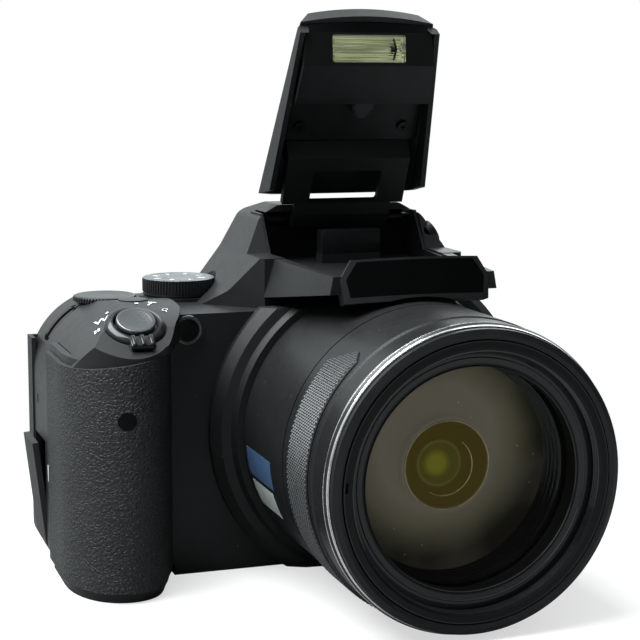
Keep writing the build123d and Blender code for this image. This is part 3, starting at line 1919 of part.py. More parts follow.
with BuildPart() as eyepiece_glass:
    with BuildSketch(Plane.XZ.offset(-finder_rear)):
        with Locations((0, eye_height)):
            Rectangle(2 * (eye_half - seat_gap), 2 * (eye_rise - seat_gap))
    extrude(amount=finder_rear - hump_rear_depth + seat_gap)
eyepiece_glass.part.label = "eyepiece_glass"
export_step(eyepiece_glass.part, "parts/eyepiece_glass.step")

cup_rear = 31.4
cup_half = 17.0
cup_rise = 10.0
cup_wall = 2.6
cup_round = 5.0
with BuildPart() as eyecup:
    with BuildSketch(Plane.XZ.offset(-hump_rear_depth - seat_gap)):
        with Locations((0, eye_height)):
            RectangleRounded(2 * cup_half, 2 * cup_rise, cup_round)
    with BuildSketch(Plane.XZ.offset(-cup_rear)):
        with Locations((0, eye_height)):
            RectangleRounded(2 * cup_half - 2 * cup_wall / 2, 2 * cup_rise - cup_wall / 2, cup_round)
    loft()
    with BuildSketch(Plane.XZ.offset(-cup_rear)):
        with Locations((0, eye_height)):
            RectangleRounded(
                2 * (cup_half - cup_wall) - cup_wall,
                2 * (cup_rise - cup_wall),
                cup_round - cup_wall,
            )
    extrude(amount=cup_rear, mode=Mode.SUBTRACT)
eyecup.part.label = "eyecup"
export_step(eyecup.part, "parts/eyecup.step")

# Tripod bush
thread_bore = 3.175
bush_bore_depth = 7.5
with BuildPart() as tripod_bush:
    with BuildSketch():
        Circle(bush_radius)
    extrude(amount=bush_height)
    with BuildSketch(Plane.XY.offset(base_thickness + seat_gap)):
        Circle(bush_flange_radius)
    extrude(amount=bush_flange)
    with BuildSketch():
        Circle(thread_bore)
    extrude(amount=bush_bore_depth, mode=Mode.SUBTRACT)
tripod_bush.part.label = "tripod_bush"
export_step(tripod_bush.part, "parts/tripod_bush.step")

with BuildPart() as strap_lugs:
    add(strap_bar(left_strap_plane, bar_radius))
    add(strap_bar(right_strap_plane, bar_radius))
strap_lugs.part.label = "strap_lugs"
export_step(strap_lugs.part, "parts/strap_lugs.step")

with BuildPart() as assist_lamp_window:
    with BuildSketch(Plane.XZ.offset(front_depth - wall)):
        with Locations((lamp_x, lamp_height)):
            Circle(lamp_radius)
    extrude(amount=wall + lamp_proud / 2)
assist_lamp_window.part.label = "assist_lamp_window"
export_step(assist_lamp_window.part, "parts/assist_lamp_window.step")

window_back = 47.5
with BuildPart() as infrared_window:
    with BuildSketch(Plane.XZ.offset(window_back)):
        with Locations((window_x, window_height)):
            Circle(window_radius)
    extrude(amount=overrun)
    add(grip_outer, mode=Mode.INTERSECT)
infrared_window.part.label = "infrared_window"
export_step(infrared_window.part, "parts/infrared_window.step")

with BuildPart() as case_screws:
    with BuildSketch(Plane.XY.offset(screw_sink)):
        with Locations(*screw_spots):
            Circle(screw_head_radius)
    extrude(amount=screw_head_height)
    with BuildSketch(Plane.XY.offset(screw_sink)):
        with Locations(*screw_spots):
            Rectangle(screw_head_radius, screw_sink)
            Rectangle(screw_sink, screw_head_radius)
    extrude(amount=screw_head_height / 2, mode=Mode.SUBTRACT)
    with BuildSketch(Plane.XY.offset(screw_sink + screw_head_height)):
        with Locations(*screw_spots):
            Circle(screw_shank)
    extrude(amount=screw_length)
case_screws.part.label = "case_screws"
export_step(case_screws.part, "parts/case_screws.step")

# Sockets behind the connector cover
socket_left = 86.9
socket_right = 78.5
socket_front = 4.0
socket_rear = 9.0
socket_high = 33.0
socket_middle = 2.5
socket_sink = 6.0
small_socket_height = 12.0
small_socket_wide = 3.4
small_socket_tall = 8.0
small_socket_round = 1.0
wide_socket_height = 25.0
wide_socket_wide = 3.6
wide_socket_tall = 9.4
wide_socket_round = 0.8
with BuildPart() as connector_block:
    add(
        block(
            -socket_left,
            -socket_right,
            at(socket_front),
            socket_rear,
            base_thickness + seat_gap,
            socket_high,
        )
    )
    with BuildSketch(Plane.YZ.offset(-socket_left)):
        with Locations((socket_middle, small_socket_height)):
            RectangleRounded(small_socket_wide, small_socket_tall, small_socket_round)
        with Locations((socket_middle, wide_socket_height)):
            RectangleRounded(wide_socket_wide, wide_socket_tall, wide_socket_round)
    extrude(amount=socket_sink, mode=Mode.SUBTRACT)
connector_block.part.label = "connector_block"
export_step(connector_block.part, "parts/connector_block.step")

# Thumb rubber round the rear corner
with BuildPart() as thumb_rubber:
    add(
        block(
            -grip_reach - pad_proud,
            pad_seat - seat_gap - grip_reach,
            pad_front + seat_gap,
            back_depth + pad_proud,
            pad_low + seat_gap,
            pad_high - seat_gap,
        )
    )
    add(
        block(
            -grip_reach - pad_proud,
            -pad_right - seat_gap,
            back_depth - pad_seat + seat_gap,
            back_depth + pad_proud,
            pad_step + seat_gap,
            pad_high - seat_gap,
        )
    )
thumb_rubber.part.label = "thumb_rubber"
export_step(thumb_rubber.part, "parts/thumb_rubber.step")

# Turning ring that drives the zoom
ring_rear_depth = 26.0
ring_front_depth = 33.0
ring_radius = 37.68
ring_bore = 33.0
with BuildPart() as zoom_drive_ring:
    with BuildSketch(Plane.XZ.offset(ring_rear_depth)):
        with Locations((0, axis_height)):
            Circle(ring_radius)
            Circle(ring_bore, mode=Mode.SUBTRACT)
    extrude(amount=ring_front_depth - ring_rear_depth)
zoom_drive_ring.part.label = "zoom_drive_ring"
export_step(zoom_drive_ring.part, "parts/zoom_drive_ring.step")

# Rear zoom stage: a tube that runs on a land inside the barrel
land_radius = 37.68
land_long = 6.0
stage_front_depth = 100.0
stage_lip_bore = 36.13
stage_lip_long = 4.0
with BuildPart() as zoom_barrel_rear:
    add(
        lens_turn(
            [
                (stage_bore, stage_rear_depth),
                (land_radius, stage_rear_depth),
                (land_radius, stage_rear_depth + land_long),
                (stage_radius, stage_rear_depth + land_long),
                (stage_radius, stage_front_depth),
                (stage_lip_bore, stage_front_depth),
                (stage_lip_bore, stage_front_depth - stage_lip_long),
                (stage_bore, stage_front_depth - stage_lip_long),
            ]
        )
    )
zoom_barrel_rear.part.label = "zoom_barrel_rear"
export_step(zoom_barrel_rear.part, "parts/zoom_barrel_rear.step")

# Trim ring on its front: smooth ring, two bright steps and a black rim
trim_shoulder_depth = 101.9
trim_groove_depth = 103.4
trim_groove_radius = 39.3
trim_step_depth = 105.4
trim_step_radius = 38.95
rim_outer = 39.12
rim_inner = 37.5
trim_bore = 36.4
with BuildPart() as barrel_trim_ring:
    add(
        lens_turn(
            [
                (stage_radius + seat_gap, trim_rear_depth),
                (trim_radius, trim_rear_depth),
                (trim_radius, trim_shoulder_depth),
                (trim_groove_radius, trim_groove_depth),
                (trim_groove_radius, trim_groove_depth + groove_width),
                (rim_outer, trim_groove_depth + groove_width),
                (trim_step_radius, trim_step_depth),
                (rim_inner, trim_front_depth),
                (trim_bore, trim_step_depth),
                (trim_bore, stage_front_depth + seat_gap),
                (stage_radius + seat_gap, stage_front_depth + seat_gap),
            ]
        )
    )
barrel_trim_ring.part.label = "barrel_trim_ring"
export_step(barrel_trim_ring.part, "parts/barrel_trim_ring.step")

# Front zoom stage with the filter thread and the seats of two elements
inner_land_radius = 36.33
inner_land_long = 4.0
inner_bore = 34.8
face_radius = 34.3
ring_face_radius = 31.6
ring_face_depth = 101.65
opening_depth = 101.2
opening_back = 98.25
glass_radius = 30.0
glass_back = 94.6
tunnel_radius = 29.0
second_front = 83.3
second_radius = 29.45
second_back = 79.8
with BuildPart() as zoom_barrel_front:
    add(
        lens_turn(
            [
                (inner_land_radius, inner_rear_depth),
                (inner_land_radius, inner_rear_depth + inner_land_long),
                (inner_radius, inner_rear_depth + inner_land_long),
                (inner_radius, inner_front_depth),
                (face_radius, inner_front_depth),
                (thread_radius, inner_front_depth - edge_break),
                (thread_radius, inner_front_depth - thread_depth),
                (ring_face_radius, ring_face_depth),
                (glass_opening, opening_depth),
                (glass_opening, opening_back),
                (glass_radius + seat_gap, opening_back),
                (glass_radius + seat_gap, glass_back - seat_gap),
                (tunnel_radius, glass_back - seat_gap),
                (tunnel_radius, second_front),
                (second_radius + seat_gap, second_front),
                (second_radius + seat_gap, second_back),
                (inner_bore, second_back),
                (inner_bore, inner_rear_depth),
            ]
        )
    )
zoom_barrel_front.part.label = "zoom_barrel_front"
export_step(zoom_barrel_front.part, "parts/zoom_barrel_front.step")

apex_depth = 101.7
glass_edge_depth = 97.8
glass_drop = apex_depth - glass_edge_depth
glass_sphere = (glass_radius**2 + glass_drop**2) / (2 * glass_drop)
with BuildPart() as front_element:
    add(rod(glass_radius, apex_depth + overrun, glass_back))
    with Locations((0, at(apex_depth - glass_sphere), axis_height)):
        Sphere(glass_sphere, mode=Mode.INTERSECT)
front_element.part.label = "front_element"
export_step(front_element.part, "parts/front_element.step")

second_thick = 3.3
bulge_radius = 11.8
bulge_depth = 85.2
bulge_flange = 1.0
bulge_dish = 1.2
with BuildPart() as second_element:
    add(
        lens_turn(
            [
                (0, second_front - second_thick),
                (second_radius, second_front - second_thick),
                (second_radius, second_front - seat_gap),
                (bulge_radius + bulge_flange, second_front - seat_gap),
                (bulge_radius + bulge_flange, bulge_depth),
                (bulge_radius, bulge_depth),
                (0, bulge_depth - bulge_dish),
            ]
        )
    )
second_element.part.label = "second_element"
export_step(second_element.part, "parts/second_element.step")

# Side zoom key: slides up and down in its pocket
key_face = 41.4
key_short = 1.6
with BuildPart() as side_zoom_key:
    add(
        block(
            key_floor + seat_gap,
            key_face,
            at(key_depth + key_half_wide - button_gap),
            at(key_depth - key_half_wide + button_gap),
            axis_height - key_half_long + key_short,
            axis_height + key_half_long - key_short,
        )
    )
    with BuildSketch(Plane.XZ.offset(key_depth + key_half_wide)):
        with Locations((key_face, axis_height)):
            Rectangle(2 * key_short, key_short, rotation=45)
    extrude(amount=-2 * key_half_wide, mode=Mode.SUBTRACT)
side_zoom_key.part.label = "side_zoom_key"
export_step(side_zoom_key.part, "parts/side_zoom_key.step")

# Dials on the deck
foot_grow = 1.0
foot_thick = 0.8
foot_gap = 0.25
deck_under = deck_height - wall
disc_gap = 0.15
dial_base = deck_height + collar_grow + free_gap
with BuildPart() as mode_dial:
    with BuildSketch(Plane.XY.offset(dial_base)):
        with Locations((dial_x, dial_y)):
            Circle(dial_radius)
    extrude(amount=dial_top - dial_base)
    with BuildSketch(Plane.XY.offset(deck_under - foot_gap)):
        with Locations((dial_x, dial_y)):
            Circle(stem_radius)
    extrude(amount=dial_base - deck_under + foot_gap)
    with BuildSketch(Plane.XY.offset(deck_under - foot_gap)):
        with Locations((dial_x, dial_y)):
            Circle(stem_radius + foot_grow)
    extrude(amount=-foot_thick)
mode_dial.part.label = "mode_dial"
export_step(mode_dial.part, "parts/mode_dial.step")

with BuildPart() as command_dial:
    with BuildSketch(Plane.XY.offset(deck_height + disc_gap)):
        with Locations((wheel_x, wheel_y)):
            Circle(wheel_radius)
    extrude(amount=wheel_top - deck_height - disc_gap)
    with BuildSketch(Plane.XY.offset(deck_under - foot_gap)):
        with Locations((wheel_x, wheel_y)):
            Circle(stem_radius)
    extrude(amount=wall + foot_gap + disc_gap)
    with BuildSketch(Plane.XY.offset(deck_under - foot_gap)):
        with Locations((wheel_x, wheel_y)):
            Circle(stem_radius + foot_grow)
    extrude(amount=-foot_thick)
command_dial.part.label = "command_dial"
export_step(command_dial.part, "parts/command_dial.step")

# Shutter button, zoom lever round it and power button
stem_foot_top = -3.0
cap_base = hub_top + shutter_travel + seat_gap
with BuildPart() as shutter_button:
    with BuildSketch(lever_plane.offset(cap_base)):
        Circle(shutter_radius)
    extrude(amount=shutter_high - cap_base)
    with BuildSketch(lever_plane.offset(-shutter_stem_long)):
        Circle(shutter_stem)
    extrude(amount=shutter_stem_long + cap_base)
    with BuildSketch(lever_plane.offset(stem_foot_top)):
        Circle(shutter_stem + foot_grow)
    extrude(amount=-foot_thick)
shutter_button.part.label = "shutter_button"
export_step(shutter_button.part, "parts/shutter_button.step")

tab_near = 7.2
tab_half = 3.4
tab_rise = 2.6
tab_clear = 0.4
with BuildPart() as zoom_lever:
    with BuildSketch(lever_plane.offset(-lever_sink + seat_gap)):
        Circle(lever_radius)
    extrude(amount=lever_thick)
    with BuildSketch(lever_plane.offset(tab_clear)):
        with Locations((0, -(tab_near + tab_far) / 2)):
            RectangleRounded(2 * tab_half, tab_far - tab_near, tab_round)
    extrude(amount=tab_rise - tab_clear)
    with BuildSketch(lever_plane.offset(-lever_sink)):
        Circle(lever_bore)
    extrude(amount=overrun, mode=Mode.SUBTRACT)
zoom_lever.part.label = "zoom_lever"
export_step(zoom_lever.part, "parts/zoom_lever.step")

power_top = lobe_surface(power_y) + power_proud
power_foot_top = lobe_surface(power_y + power_radius + button_foot) - wall - foot_gap
with BuildPart() as power_button:
    with BuildSketch(Plane.XY.offset(power_foot_top)):
        with Locations((power_x, power_y)):
            Circle(power_radius)
    extrude(amount=power_top - power_foot_top)
    with BuildSketch(Plane.XY.offset(power_foot_top)):
        with Locations((power_x, power_y)):
            Circle(power_radius + button_foot)
    extrude(amount=-foot_thick)
power_button.part.label = "power_button"
export_step(power_button.part, "parts/power_button.step")

flash_button_in = 1.4
with BuildPart() as flash_button:
    with BuildSketch(flash_button_plane.offset(-flash_button_in)):
        Circle(flash_button_radius)
    extrude(amount=flash_button_in + flash_button_proud)
flash_button.part.label = "flash_button"
export_step(flash_button.part, "parts/flash_button.step")

# Rear buttons and the selector


def rear_key(x, height, radius, proud):
    """A round key through the rear wall with a foot behind it."""
    with BuildPart() as form:
        with BuildSketch(Plane.XZ.offset(wall + button_gap + button_foot_depth - back_depth)):
            with Locations((x, height)):
                Circle(radius)
        extrude(amount=-wall - button_gap - button_foot_depth - proud)
        with BuildSketch(Plane.XZ.offset(wall + button_gap + button_foot_depth - back_depth)):
            with Locations((x, height)):
                Circle(radius + button_foot)
        extrude(amount=-button_foot_depth)
    return form.part


with BuildPart() as menu_button:
    add(rear_key(*rear_buttons["menu_button"], small_radius, rear_proud))
menu_button.part.label = "menu_button"
export_step(menu_button.part, "parts/menu_button.step")

with BuildPart() as delete_button:
    add(rear_key(*rear_buttons["delete_button"], small_radius, rear_proud))
delete_button.part.label = "delete_button"
export_step(delete_button.part, "parts/delete_button.step")

with BuildPart() as playback_button:
    add(rear_key(*rear_buttons["playback_button"], small_radius, rear_proud))
playback_button.part.label = "playback_button"
export_step(playback_button.part, "parts/playback_button.step")

with BuildPart() as display_button:
    add(rear_key(*rear_buttons["display_button"], small_radius, rear_proud))
display_button.part.label = "display_button"
export_step(display_button.part, "parts/display_button.step")

with BuildPart() as record_button:
    add(rear_key(record_x, record_height, small_radius, rear_proud))
record_button.part.label = "record_button"
export_step(record_button.part, "parts/record_button.step")

with BuildPart() as ok_button:
    add(rear_key(selector_x, selector_height, ok_radius, selector_proud + button_gap))
ok_button.part.label = "ok_button"
export_step(ok_button.part, "parts/ok_button.step")

with BuildPart() as selector_ring:
    with BuildSketch(Plane.XZ.offset(selector_sink - seat_gap - back_depth)):
        with Locations((selector_x, selector_height)):
            Circle(selector_radius)
            Circle(selector_bore, mode=Mode.SUBTRACT)
    extrude(amount=-selector_sink + seat_gap - selector_proud)
selector_ring.part.label = "selector_ring"
export_step(selector_ring.part, "parts/selector_ring.step")

# Monitor on its side hinge
monitor_out = 20.35
case_round = 3.0
screen_half_wide = 33.0
screen_half_tall = 25.0
screen_thick = 1.6
screen_height = (monitor_low + monitor_high) / 2
screen_x = -6.6
stub_radius = 2.2
stub_y = 16.4
stub_in = 6.0
stub_stop = 1.0
hinge_round = 1.0
hinge_block_left = 32.6
hinge_block_right = 38.2
hinge_block_front = 13.5
hinge_block_rear = 21.5
with BuildPart() as monitor_case:
    with BuildSketch(Plane.XZ.offset(-monitor_floor - free_gap)):
        with Locations(((monitor_right - monitor_left) / 2, screen_height)):
            RectangleRounded(monitor_left + monitor_right, monitor_high - monitor_low, case_round)
    extrude(amount=monitor_floor + free_gap - monitor_out)
    with BuildSketch(Plane.XZ.offset(-monitor_out)):
        with Locations((screen_x, screen_height)):
            RectangleRounded(
                2 * (screen_half_wide + seat_gap), 2 * (screen_half_tall + seat_gap), case_round / 2
            )
    extrude(amount=screen_thick, mode=Mode.SUBTRACT)
    with BuildSketch(Plane.YZ.offset(monitor_right - stub_in - free_gap)):
        with Locations((stub_y, screen_height)):
            Circle(stub_radius + seat_gap)
    extrude(amount=stub_in + free_gap, mode=Mode.SUBTRACT)
monitor_case.part.label = "monitor_case"
export_step(monitor_case.part, "parts/monitor_case.step")

with BuildPart() as monitor_screen:
    with BuildSketch(Plane.XZ.offset(-monitor_out)):
        with Locations((screen_x, screen_height)):
            RectangleRounded(2 * screen_half_wide, 2 * screen_half_tall, case_round / 2)
    extrude(amount=screen_thick - seat_gap)
monitor_screen.part.label = "monitor_screen"
export_step(monitor_screen.part, "parts/monitor_screen.step")

with BuildPart() as monitor_hinge:
    with BuildSketch(Plane.XY.offset(hinge_low)):
        with Locations(
            (
                (hinge_block_left + hinge_block_right) / 2,
                (hinge_block_front + hinge_block_rear) / 2,
            )
        ):
            RectangleRounded(
                hinge_block_right - hinge_block_left, hinge_block_rear - hinge_block_front, hinge_round
            )
    extrude(amount=hinge_high - hinge_low)
    with BuildSketch(Plane.XY.offset(hinge_low - recess_gap - wall + seat_gap)):
        with Locations((hinge_axis_x, hinge_axis_y)):
            Circle(hinge_pin_radius)
    extrude(amount=hinge_high - hinge_low + 2 * (recess_gap + wall - seat_gap))
    with BuildSketch(Plane.YZ.offset(monitor_right - stub_in)):
        with Locations((stub_y, screen_height)):
            Circle(stub_radius)
    extrude(amount=stub_in + hinge_block_right - monitor_right - stub_stop)
monitor_hinge.part.label = "monitor_hinge"
export_step(monitor_hinge.part, "parts/monitor_hinge.step")

# Battery door in the base, and the connector cover on the side
door_thick = 2.0
knuckle_radius = 0.95
door_gap = 0.15
with BuildPart() as battery_door:
    add(
        block(
            -door_left + door_gap,
            door_pin_x - knuckle_radius / 2,
            at(door_front - door_gap),
            at(door_rear + door_gap),
            0,
            door_thick,
        )
    )
    with BuildSketch(Plane.XZ.offset(door_rear + door_gap)):
        with Locations((door_pin_x, door_pin_height)):
            Circle(knuckle_radius)
    extrude(amount=door_front - door_rear - 2 * door_gap)
    with BuildSketch(Plane.XZ.offset(door_rear - door_pin_long + seat_gap)):
        with Locations((door_pin_x, door_pin_height)):
            Circle(door_pin_radius)
    extrude(amount=door_front - door_rear + 2 * (door_pin_long - seat_gap))
battery_door.part.label = "battery_door"
export_step(battery_door.part, "parts/battery_door.step")

flap_thick = 1.7
flap_gap = 0.15
flap_ajar = 6.5
flap_knuckle = 0.8
with BuildPart() as flap_shell:
    extrude(casing_face(port_front - flap_gap, 0), amount=2 * flap_gap - port_front - port_rear)
    extrude(
        casing_face(port_front - flap_gap, flap_thick),
        amount=2 * flap_gap - port_front - port_rear,
        mode=Mode.SUBTRACT,
    )
    add(
        block(
            -grip_reach,
            port_sill - grip_reach - flap_gap,
            at(port_front),
            port_rear,
            port_low + flap_gap,
            port_high - flap_gap,
        ),
        mode=Mode.INTERSECT,
    )
    with BuildSketch(Plane.XZ.offset(port_front - flap_gap)):
        with Locations((flap_pin_x, flap_pin_height)):
            Circle(flap_knuckle)
    extrude(amount=2 * flap_gap - port_front - port_rear)
    with BuildSketch(Plane.XZ.offset(port_front + flap_pin_long - seat_gap)):
        with Locations((flap_pin_x, flap_pin_height)):
            Circle(flap_pin_radius)
    extrude(amount=2 * (seat_gap - flap_pin_long) - port_front - port_rear)

with BuildPart() as connector_cover:
    add(
        flap_shell.part.rotate(Axis((flap_pin_x, 0, flap_pin_height), (0, 1, 0)), -flap_ajar)
    )
connector_cover.part.label = "connector_cover"
export_step(connector_cover.part, "parts/connector_cover.step")
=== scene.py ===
"""Finishes and small pieces of a bridge camera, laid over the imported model."""

import math

import bmesh
import bpy
from mathutils import Matrix, Vector
from mathutils.bvhtree import BVHTree


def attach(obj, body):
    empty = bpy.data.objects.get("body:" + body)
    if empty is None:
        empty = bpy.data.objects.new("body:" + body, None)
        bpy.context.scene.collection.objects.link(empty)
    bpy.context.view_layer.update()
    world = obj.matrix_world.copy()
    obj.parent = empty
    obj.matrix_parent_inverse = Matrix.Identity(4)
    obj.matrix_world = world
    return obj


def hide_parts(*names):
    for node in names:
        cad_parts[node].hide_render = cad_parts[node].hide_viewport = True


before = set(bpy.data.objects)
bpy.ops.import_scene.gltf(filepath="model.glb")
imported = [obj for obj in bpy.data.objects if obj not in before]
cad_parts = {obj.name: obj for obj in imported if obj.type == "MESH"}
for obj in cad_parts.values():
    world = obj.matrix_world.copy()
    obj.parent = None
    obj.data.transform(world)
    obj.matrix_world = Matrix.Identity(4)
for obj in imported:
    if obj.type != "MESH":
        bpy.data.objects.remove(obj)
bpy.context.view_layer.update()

bl_info = {
    "name": "Bridge Camera Dress",
    "version": (1, 0, 0),
    "blender": (4, 5, 0),
    "location": "View3D > Sidebar > Bridge Camera",
    "description": "Finishes and small pieces of a bridge camera with its flash raised",
    "category": "Object",
}

# Lengths in the profiles below are millimetres, and MM turns them into the frame's metres.
MM = 0.001
WELD = MM / 1000
AXIS_HEIGHT = 41.08 * MM
LENS_AXIS = Vector((0, 0, AXIS_HEIGHT))
SIDEWAYS = Vector((1, 0, 0))
ALONG_Y = Vector((0, 1, 0))
FORWARD = Vector((0, -1, 0))
UPWARD = Vector((0, 0, 1))
# The turn of a pattern that lays its Z along the lens axis.
ABOUT_LENS = (math.pi / 2, 0, 0)
# Width of the grain on small smooth pieces, in metres.
FINE_GRAIN = 0.0002
# Middles of the two dials, the height of the mode dial's top and the radius of the barrel's skin.
MODE_DIAL = (-47.9, 6.84)
MODE_TOP = 81.12
COMMAND_DIAL = (-70.6, 6.0)
BARREL_SKIN = 40.42
# Colour of the lamps, and of the surroundings that glossy pieces mirror.
DAYLIGHT = (0.92, 0.985, 1.0)


class Link:
    """An output of a shader node. Sums of links and numbers add Math nodes."""

    def __init__(self, nodes, socket):
        self.nodes = nodes
        self.socket = socket

    def work(self, operation, *values):
        """A Math node on links and numbers."""
        return self.nodes.node("ShaderNodeMath", {"operation": operation}, dict(enumerate(values)))

    def __add__(self, other):
        return self.work("ADD", self, other)

    def __sub__(self, other):
        return self.work("SUBTRACT", self, other)

    def __rsub__(self, other):
        return self.work("SUBTRACT", other, self)

    def __mul__(self, other):
        return self.work("MULTIPLY", self, other)

    def __truediv__(self, other):
        return self.work("DIVIDE", self, other)

    __radd__ = __add__
    __rmul__ = __mul__

    def fit(self, low, high, floor=0.0, top=1.0):
        """The link stretched from low..high to floor..top, and held there."""
        return self.nodes.node(
            "ShaderNodeMapRange",
            {"clamp": True, "interpolation_type": "SMOOTHSTEP"},
            {"Value": self, "From Min": low, "From Max": high, "To Min": floor, "To Max": top},
        )


class Nodes:
    """The nodes of a material or a world, cleared down to its output."""

    def __init__(self, tree, output):
        self.tree = tree
        tree.nodes.clear()
        self.surface = tree.nodes.new(output).inputs["Surface"]

    def node(self, kind, settings=None, sockets=None, out=0):
        """Adds a node: its settings or a ramp's stops first, then its sockets' values or links."""
        made = self.tree.nodes.new(kind)
        for key, value in (settings or {}).items():
            if key == "stops":
                stops = made.color_ramp.elements
                stops.remove(stops[1])
                stops[0].position = value[0][0]
                stops[0].color = (*value[0][1], 1)
                for place, colour in value[1:]:
                    stops.new(place).color = (*colour, 1)
            else:
                setattr(made, key, value)
        self.fill(made, sockets or {})
        return Link(self, made.outputs[out])

    def fill(self, made, sockets):
        """Sets sockets of a node to values, or joins links to them."""
        for key, value in sockets.items():
            if isinstance(value, Link):
                self.tree.links.new(value.socket, made.inputs[key])
            elif isinstance(value, tuple) and made.inputs[key].type == "RGBA":
                made.inputs[key].default_value = (*value[:3], 1)
            else:
                made.inputs[key].default_value = value

    def show(self, shader):
        """Joins a shader to the output."""
        self.tree.links.new(shader.socket, self.surface)


class Finish(Nodes):
    """A procedural material: one Principled shader and the nodes that feed it."""

    def __init__(self, name, **sockets):
        self.material = bpy.data.materials.new(name)
        self.material.use_nodes = True
        super().__init__(self.material.node_tree, "ShaderNodeOutputMaterial")
        self.shader = self.tree.nodes.new("ShaderNodeBsdfPrincipled")
        self.plain = Link(self, self.shader.outputs[0])
        self.show(self.plain)
        self.paint(**sockets)

    def paint(self, **sockets):
        """Sets sockets of the shader, named with _ for a space."""
        self.fill(self.shader, {key.replace("_", " "): value for key, value in sockets.items()})
        return self

    def where(self, centre=(0, 0, 0), turn=(0, 0, 0), scale=(1, 1, 1)):
        """Object coordinates, with the pattern's centre, turn and stretch."""
        here = self.node("ShaderNodeTexCoord", out="Object")
        moved = self.node("ShaderNodeVectorMath", {"operation": "SUBTRACT"}, {0: here, 1: centre})
        return self.node(
            "ShaderNodeMapping",
            {"vector_type": "POINT"},
            {"Vector": moved, "Rotation": turn, "Scale": scale},
        )

    def noise(self, place, scale, detail, roughness=0.5, out=0):
        """Cloudy noise, whose scale is in clouds to a metre."""
        sockets = {"Vector": place, "Scale": scale, "Detail": detail, "Roughness": roughness}
        return self.node("ShaderNodeTexNoise", {}, sockets, out)

    def rings(self, distance, scale, detail):
        """Noise that changes with a distance alone."""
        sockets = {"W": distance, "Scale": scale, "Detail": detail}
        return self.node("ShaderNodeTexNoise", {"noise_dimensions": "1D"}, sockets)

    def mix(self, share, first, second):
        """A blend of two colours."""
        settings = {"data_type": "RGBA", "clamp_factor": True}
        return self.node("ShaderNodeMix", settings, {0: share, 6: first, 7: second}, out=2)

    def radius(self, centre, turn=(0, 0, 0)):
        """Distance from an axis through centre, which is Z after the turn."""
        place = self.where(centre, turn)
        flat = self.node("ShaderNodeVectorMath", {"operation": "MULTIPLY"}, {0: place, 1: (1, 1, 0)})
        return self.node("ShaderNodeVectorMath", {"operation": "LENGTH"}, {0: flat}, out="Value")

    def height(self):
        """Height above the frame's origin."""
        return self.node("ShaderNodeSeparateXYZ", {}, {0: self.where()}, out=2)

    def dust(self, place):
        """Sparse specks of dust, fewer than one to a square centimetre."""
        cells = {"Vector": place, "Scale": 330.0}
        near = self.node("ShaderNodeTexVoronoi", {}, cells)
        lot = self.node("ShaderNodeTexVoronoi", {}, cells, out="Color")
        pick = self.node("ShaderNodeSeparateXYZ", {}, {0: lot})
        return near.fit(0.035, 0.07, 1.0, 0.0) * pick.fit(0.78, 0.82)

    def bump(self, height, depth):
        """Gives the surface a relief of a depth in metres."""
        sockets = {"Height": height, "Distance": depth, "Strength": 1.0}
        return self.paint(Normal=self.node("ShaderNodeBump", {}, sockets))


def grey(value):
    """A neutral colour with the slight blue of dyed plastic."""
    return (value * 0.96, value * 0.99, value * 1.02)


FINISHES = {}


def shared(maker):
    """Keeps the material that a maker returns, so that like pieces share it."""

    def once(*values):
        key = (maker.__name__, *values)
        if key not in FINISHES:
            FINISHES[key] = maker(*values)
        return FINISHES[key]

    return once


@shared
def moulded(name, tone, roughness, grain, depth):
    """Moulded plastic: spark-eroded grain, faint clouding and handling polish."""
    finish = Finish(name, Specular_IOR_Level=0.28)
    place = finish.where()
    fine = finish.noise(place, 1 / grain, 3.0, 0.6)
    cloud = finish.noise(place, 90.0, 4.0, 0.6)
    rub = finish.noise(place, 420.0, 5.0, 0.7)
    shade = cloud.fit(0.3, 0.7) * 0.5 + fine.fit(0.35, 0.65) * 0.5
    skin = finish.mix(shade, grey(tone * 0.8), grey(tone * 1.3))
    finish.paint(
        Base_Color=finish.mix(finish.dust(place), skin, grey(tone + 0.11)),
        Roughness=roughness + (rub - 0.5) * 0.22 + (fine - 0.5) * 0.1,
    )
    return finish.bump(fine, depth).material


@shared
def polished(name, tone, roughness, gloss=0.7):
    """Glossy moulded plastic with faint hairlines."""
    finish = Finish(name, Specular_IOR_Level=0.4 * gloss, Coat_Roughness=0.08)
    place = finish.where()
    hair = finish.noise(finish.where((0, 0, 0), (0.3, 0.2, 0.5), (1, 12, 1)), 900.0, 3.0)
    cloud = finish.noise(place, 60.0, 3.0)
    finish.paint(
        Base_Color=finish.mix(cloud.fit(0.3, 0.7), grey(tone * 0.85), grey(tone * 1.2)),
        Roughness=roughness + hair.fit(0.55, 0.75) * 0.08,
        Coat_Weight=cloud.fit(0.2, 0.8, 0.6 * gloss, gloss),
    )
    return finish.bump(cloud, 0.00002).material


@shared
def leather(name, tone, pebble, depth):
    """Grained rubber: rounded pebbles with creases between them, with painted shade darkening the
    creases and painted highlight paling the crowns.
    """
    finish = Finish(name, Specular_IOR_Level=0.4)
    place = finish.where()
    sway = finish.noise(place, 0.7 / pebble, 2.0, out="Color")
    push = {0: sway, 1: (pebble * 1.6,) * 3, 2: place}
    bent = finish.node("ShaderNodeVectorMath", {"operation": "MULTIPLY_ADD"}, push)
    cells = {"Vector": bent, "Scale": 1 / pebble, "Randomness": 1.0}
    cell = finish.node("ShaderNodeTexVoronoi", {"feature": "DISTANCE_TO_EDGE"}, cells)
    fine = finish.noise(place, 5 / pebble, 3.0, 0.6)
    crown = cell.fit(0.0, 0.32)
    wear = finish.noise(place, 45.0, 4.0, 0.6)
    # Painted shade and highlight: the creases between pebbles are painted darker and the crowns paler;
    # the broad wear cloud is the rubber's own uneven tone.
    pale = crown * 0.6 + wear.fit(0.35, 0.7) * 0.4
    finish.paint(
        Base_Color=finish.mix(pale, grey(tone * 0.55), grey(tone * 1.45)),
        Roughness=0.66 - crown * 0.1 + (fine - 0.5) * 0.12,
    )
    return finish.bump(crown * 0.85 + fine * 0.15, depth).material


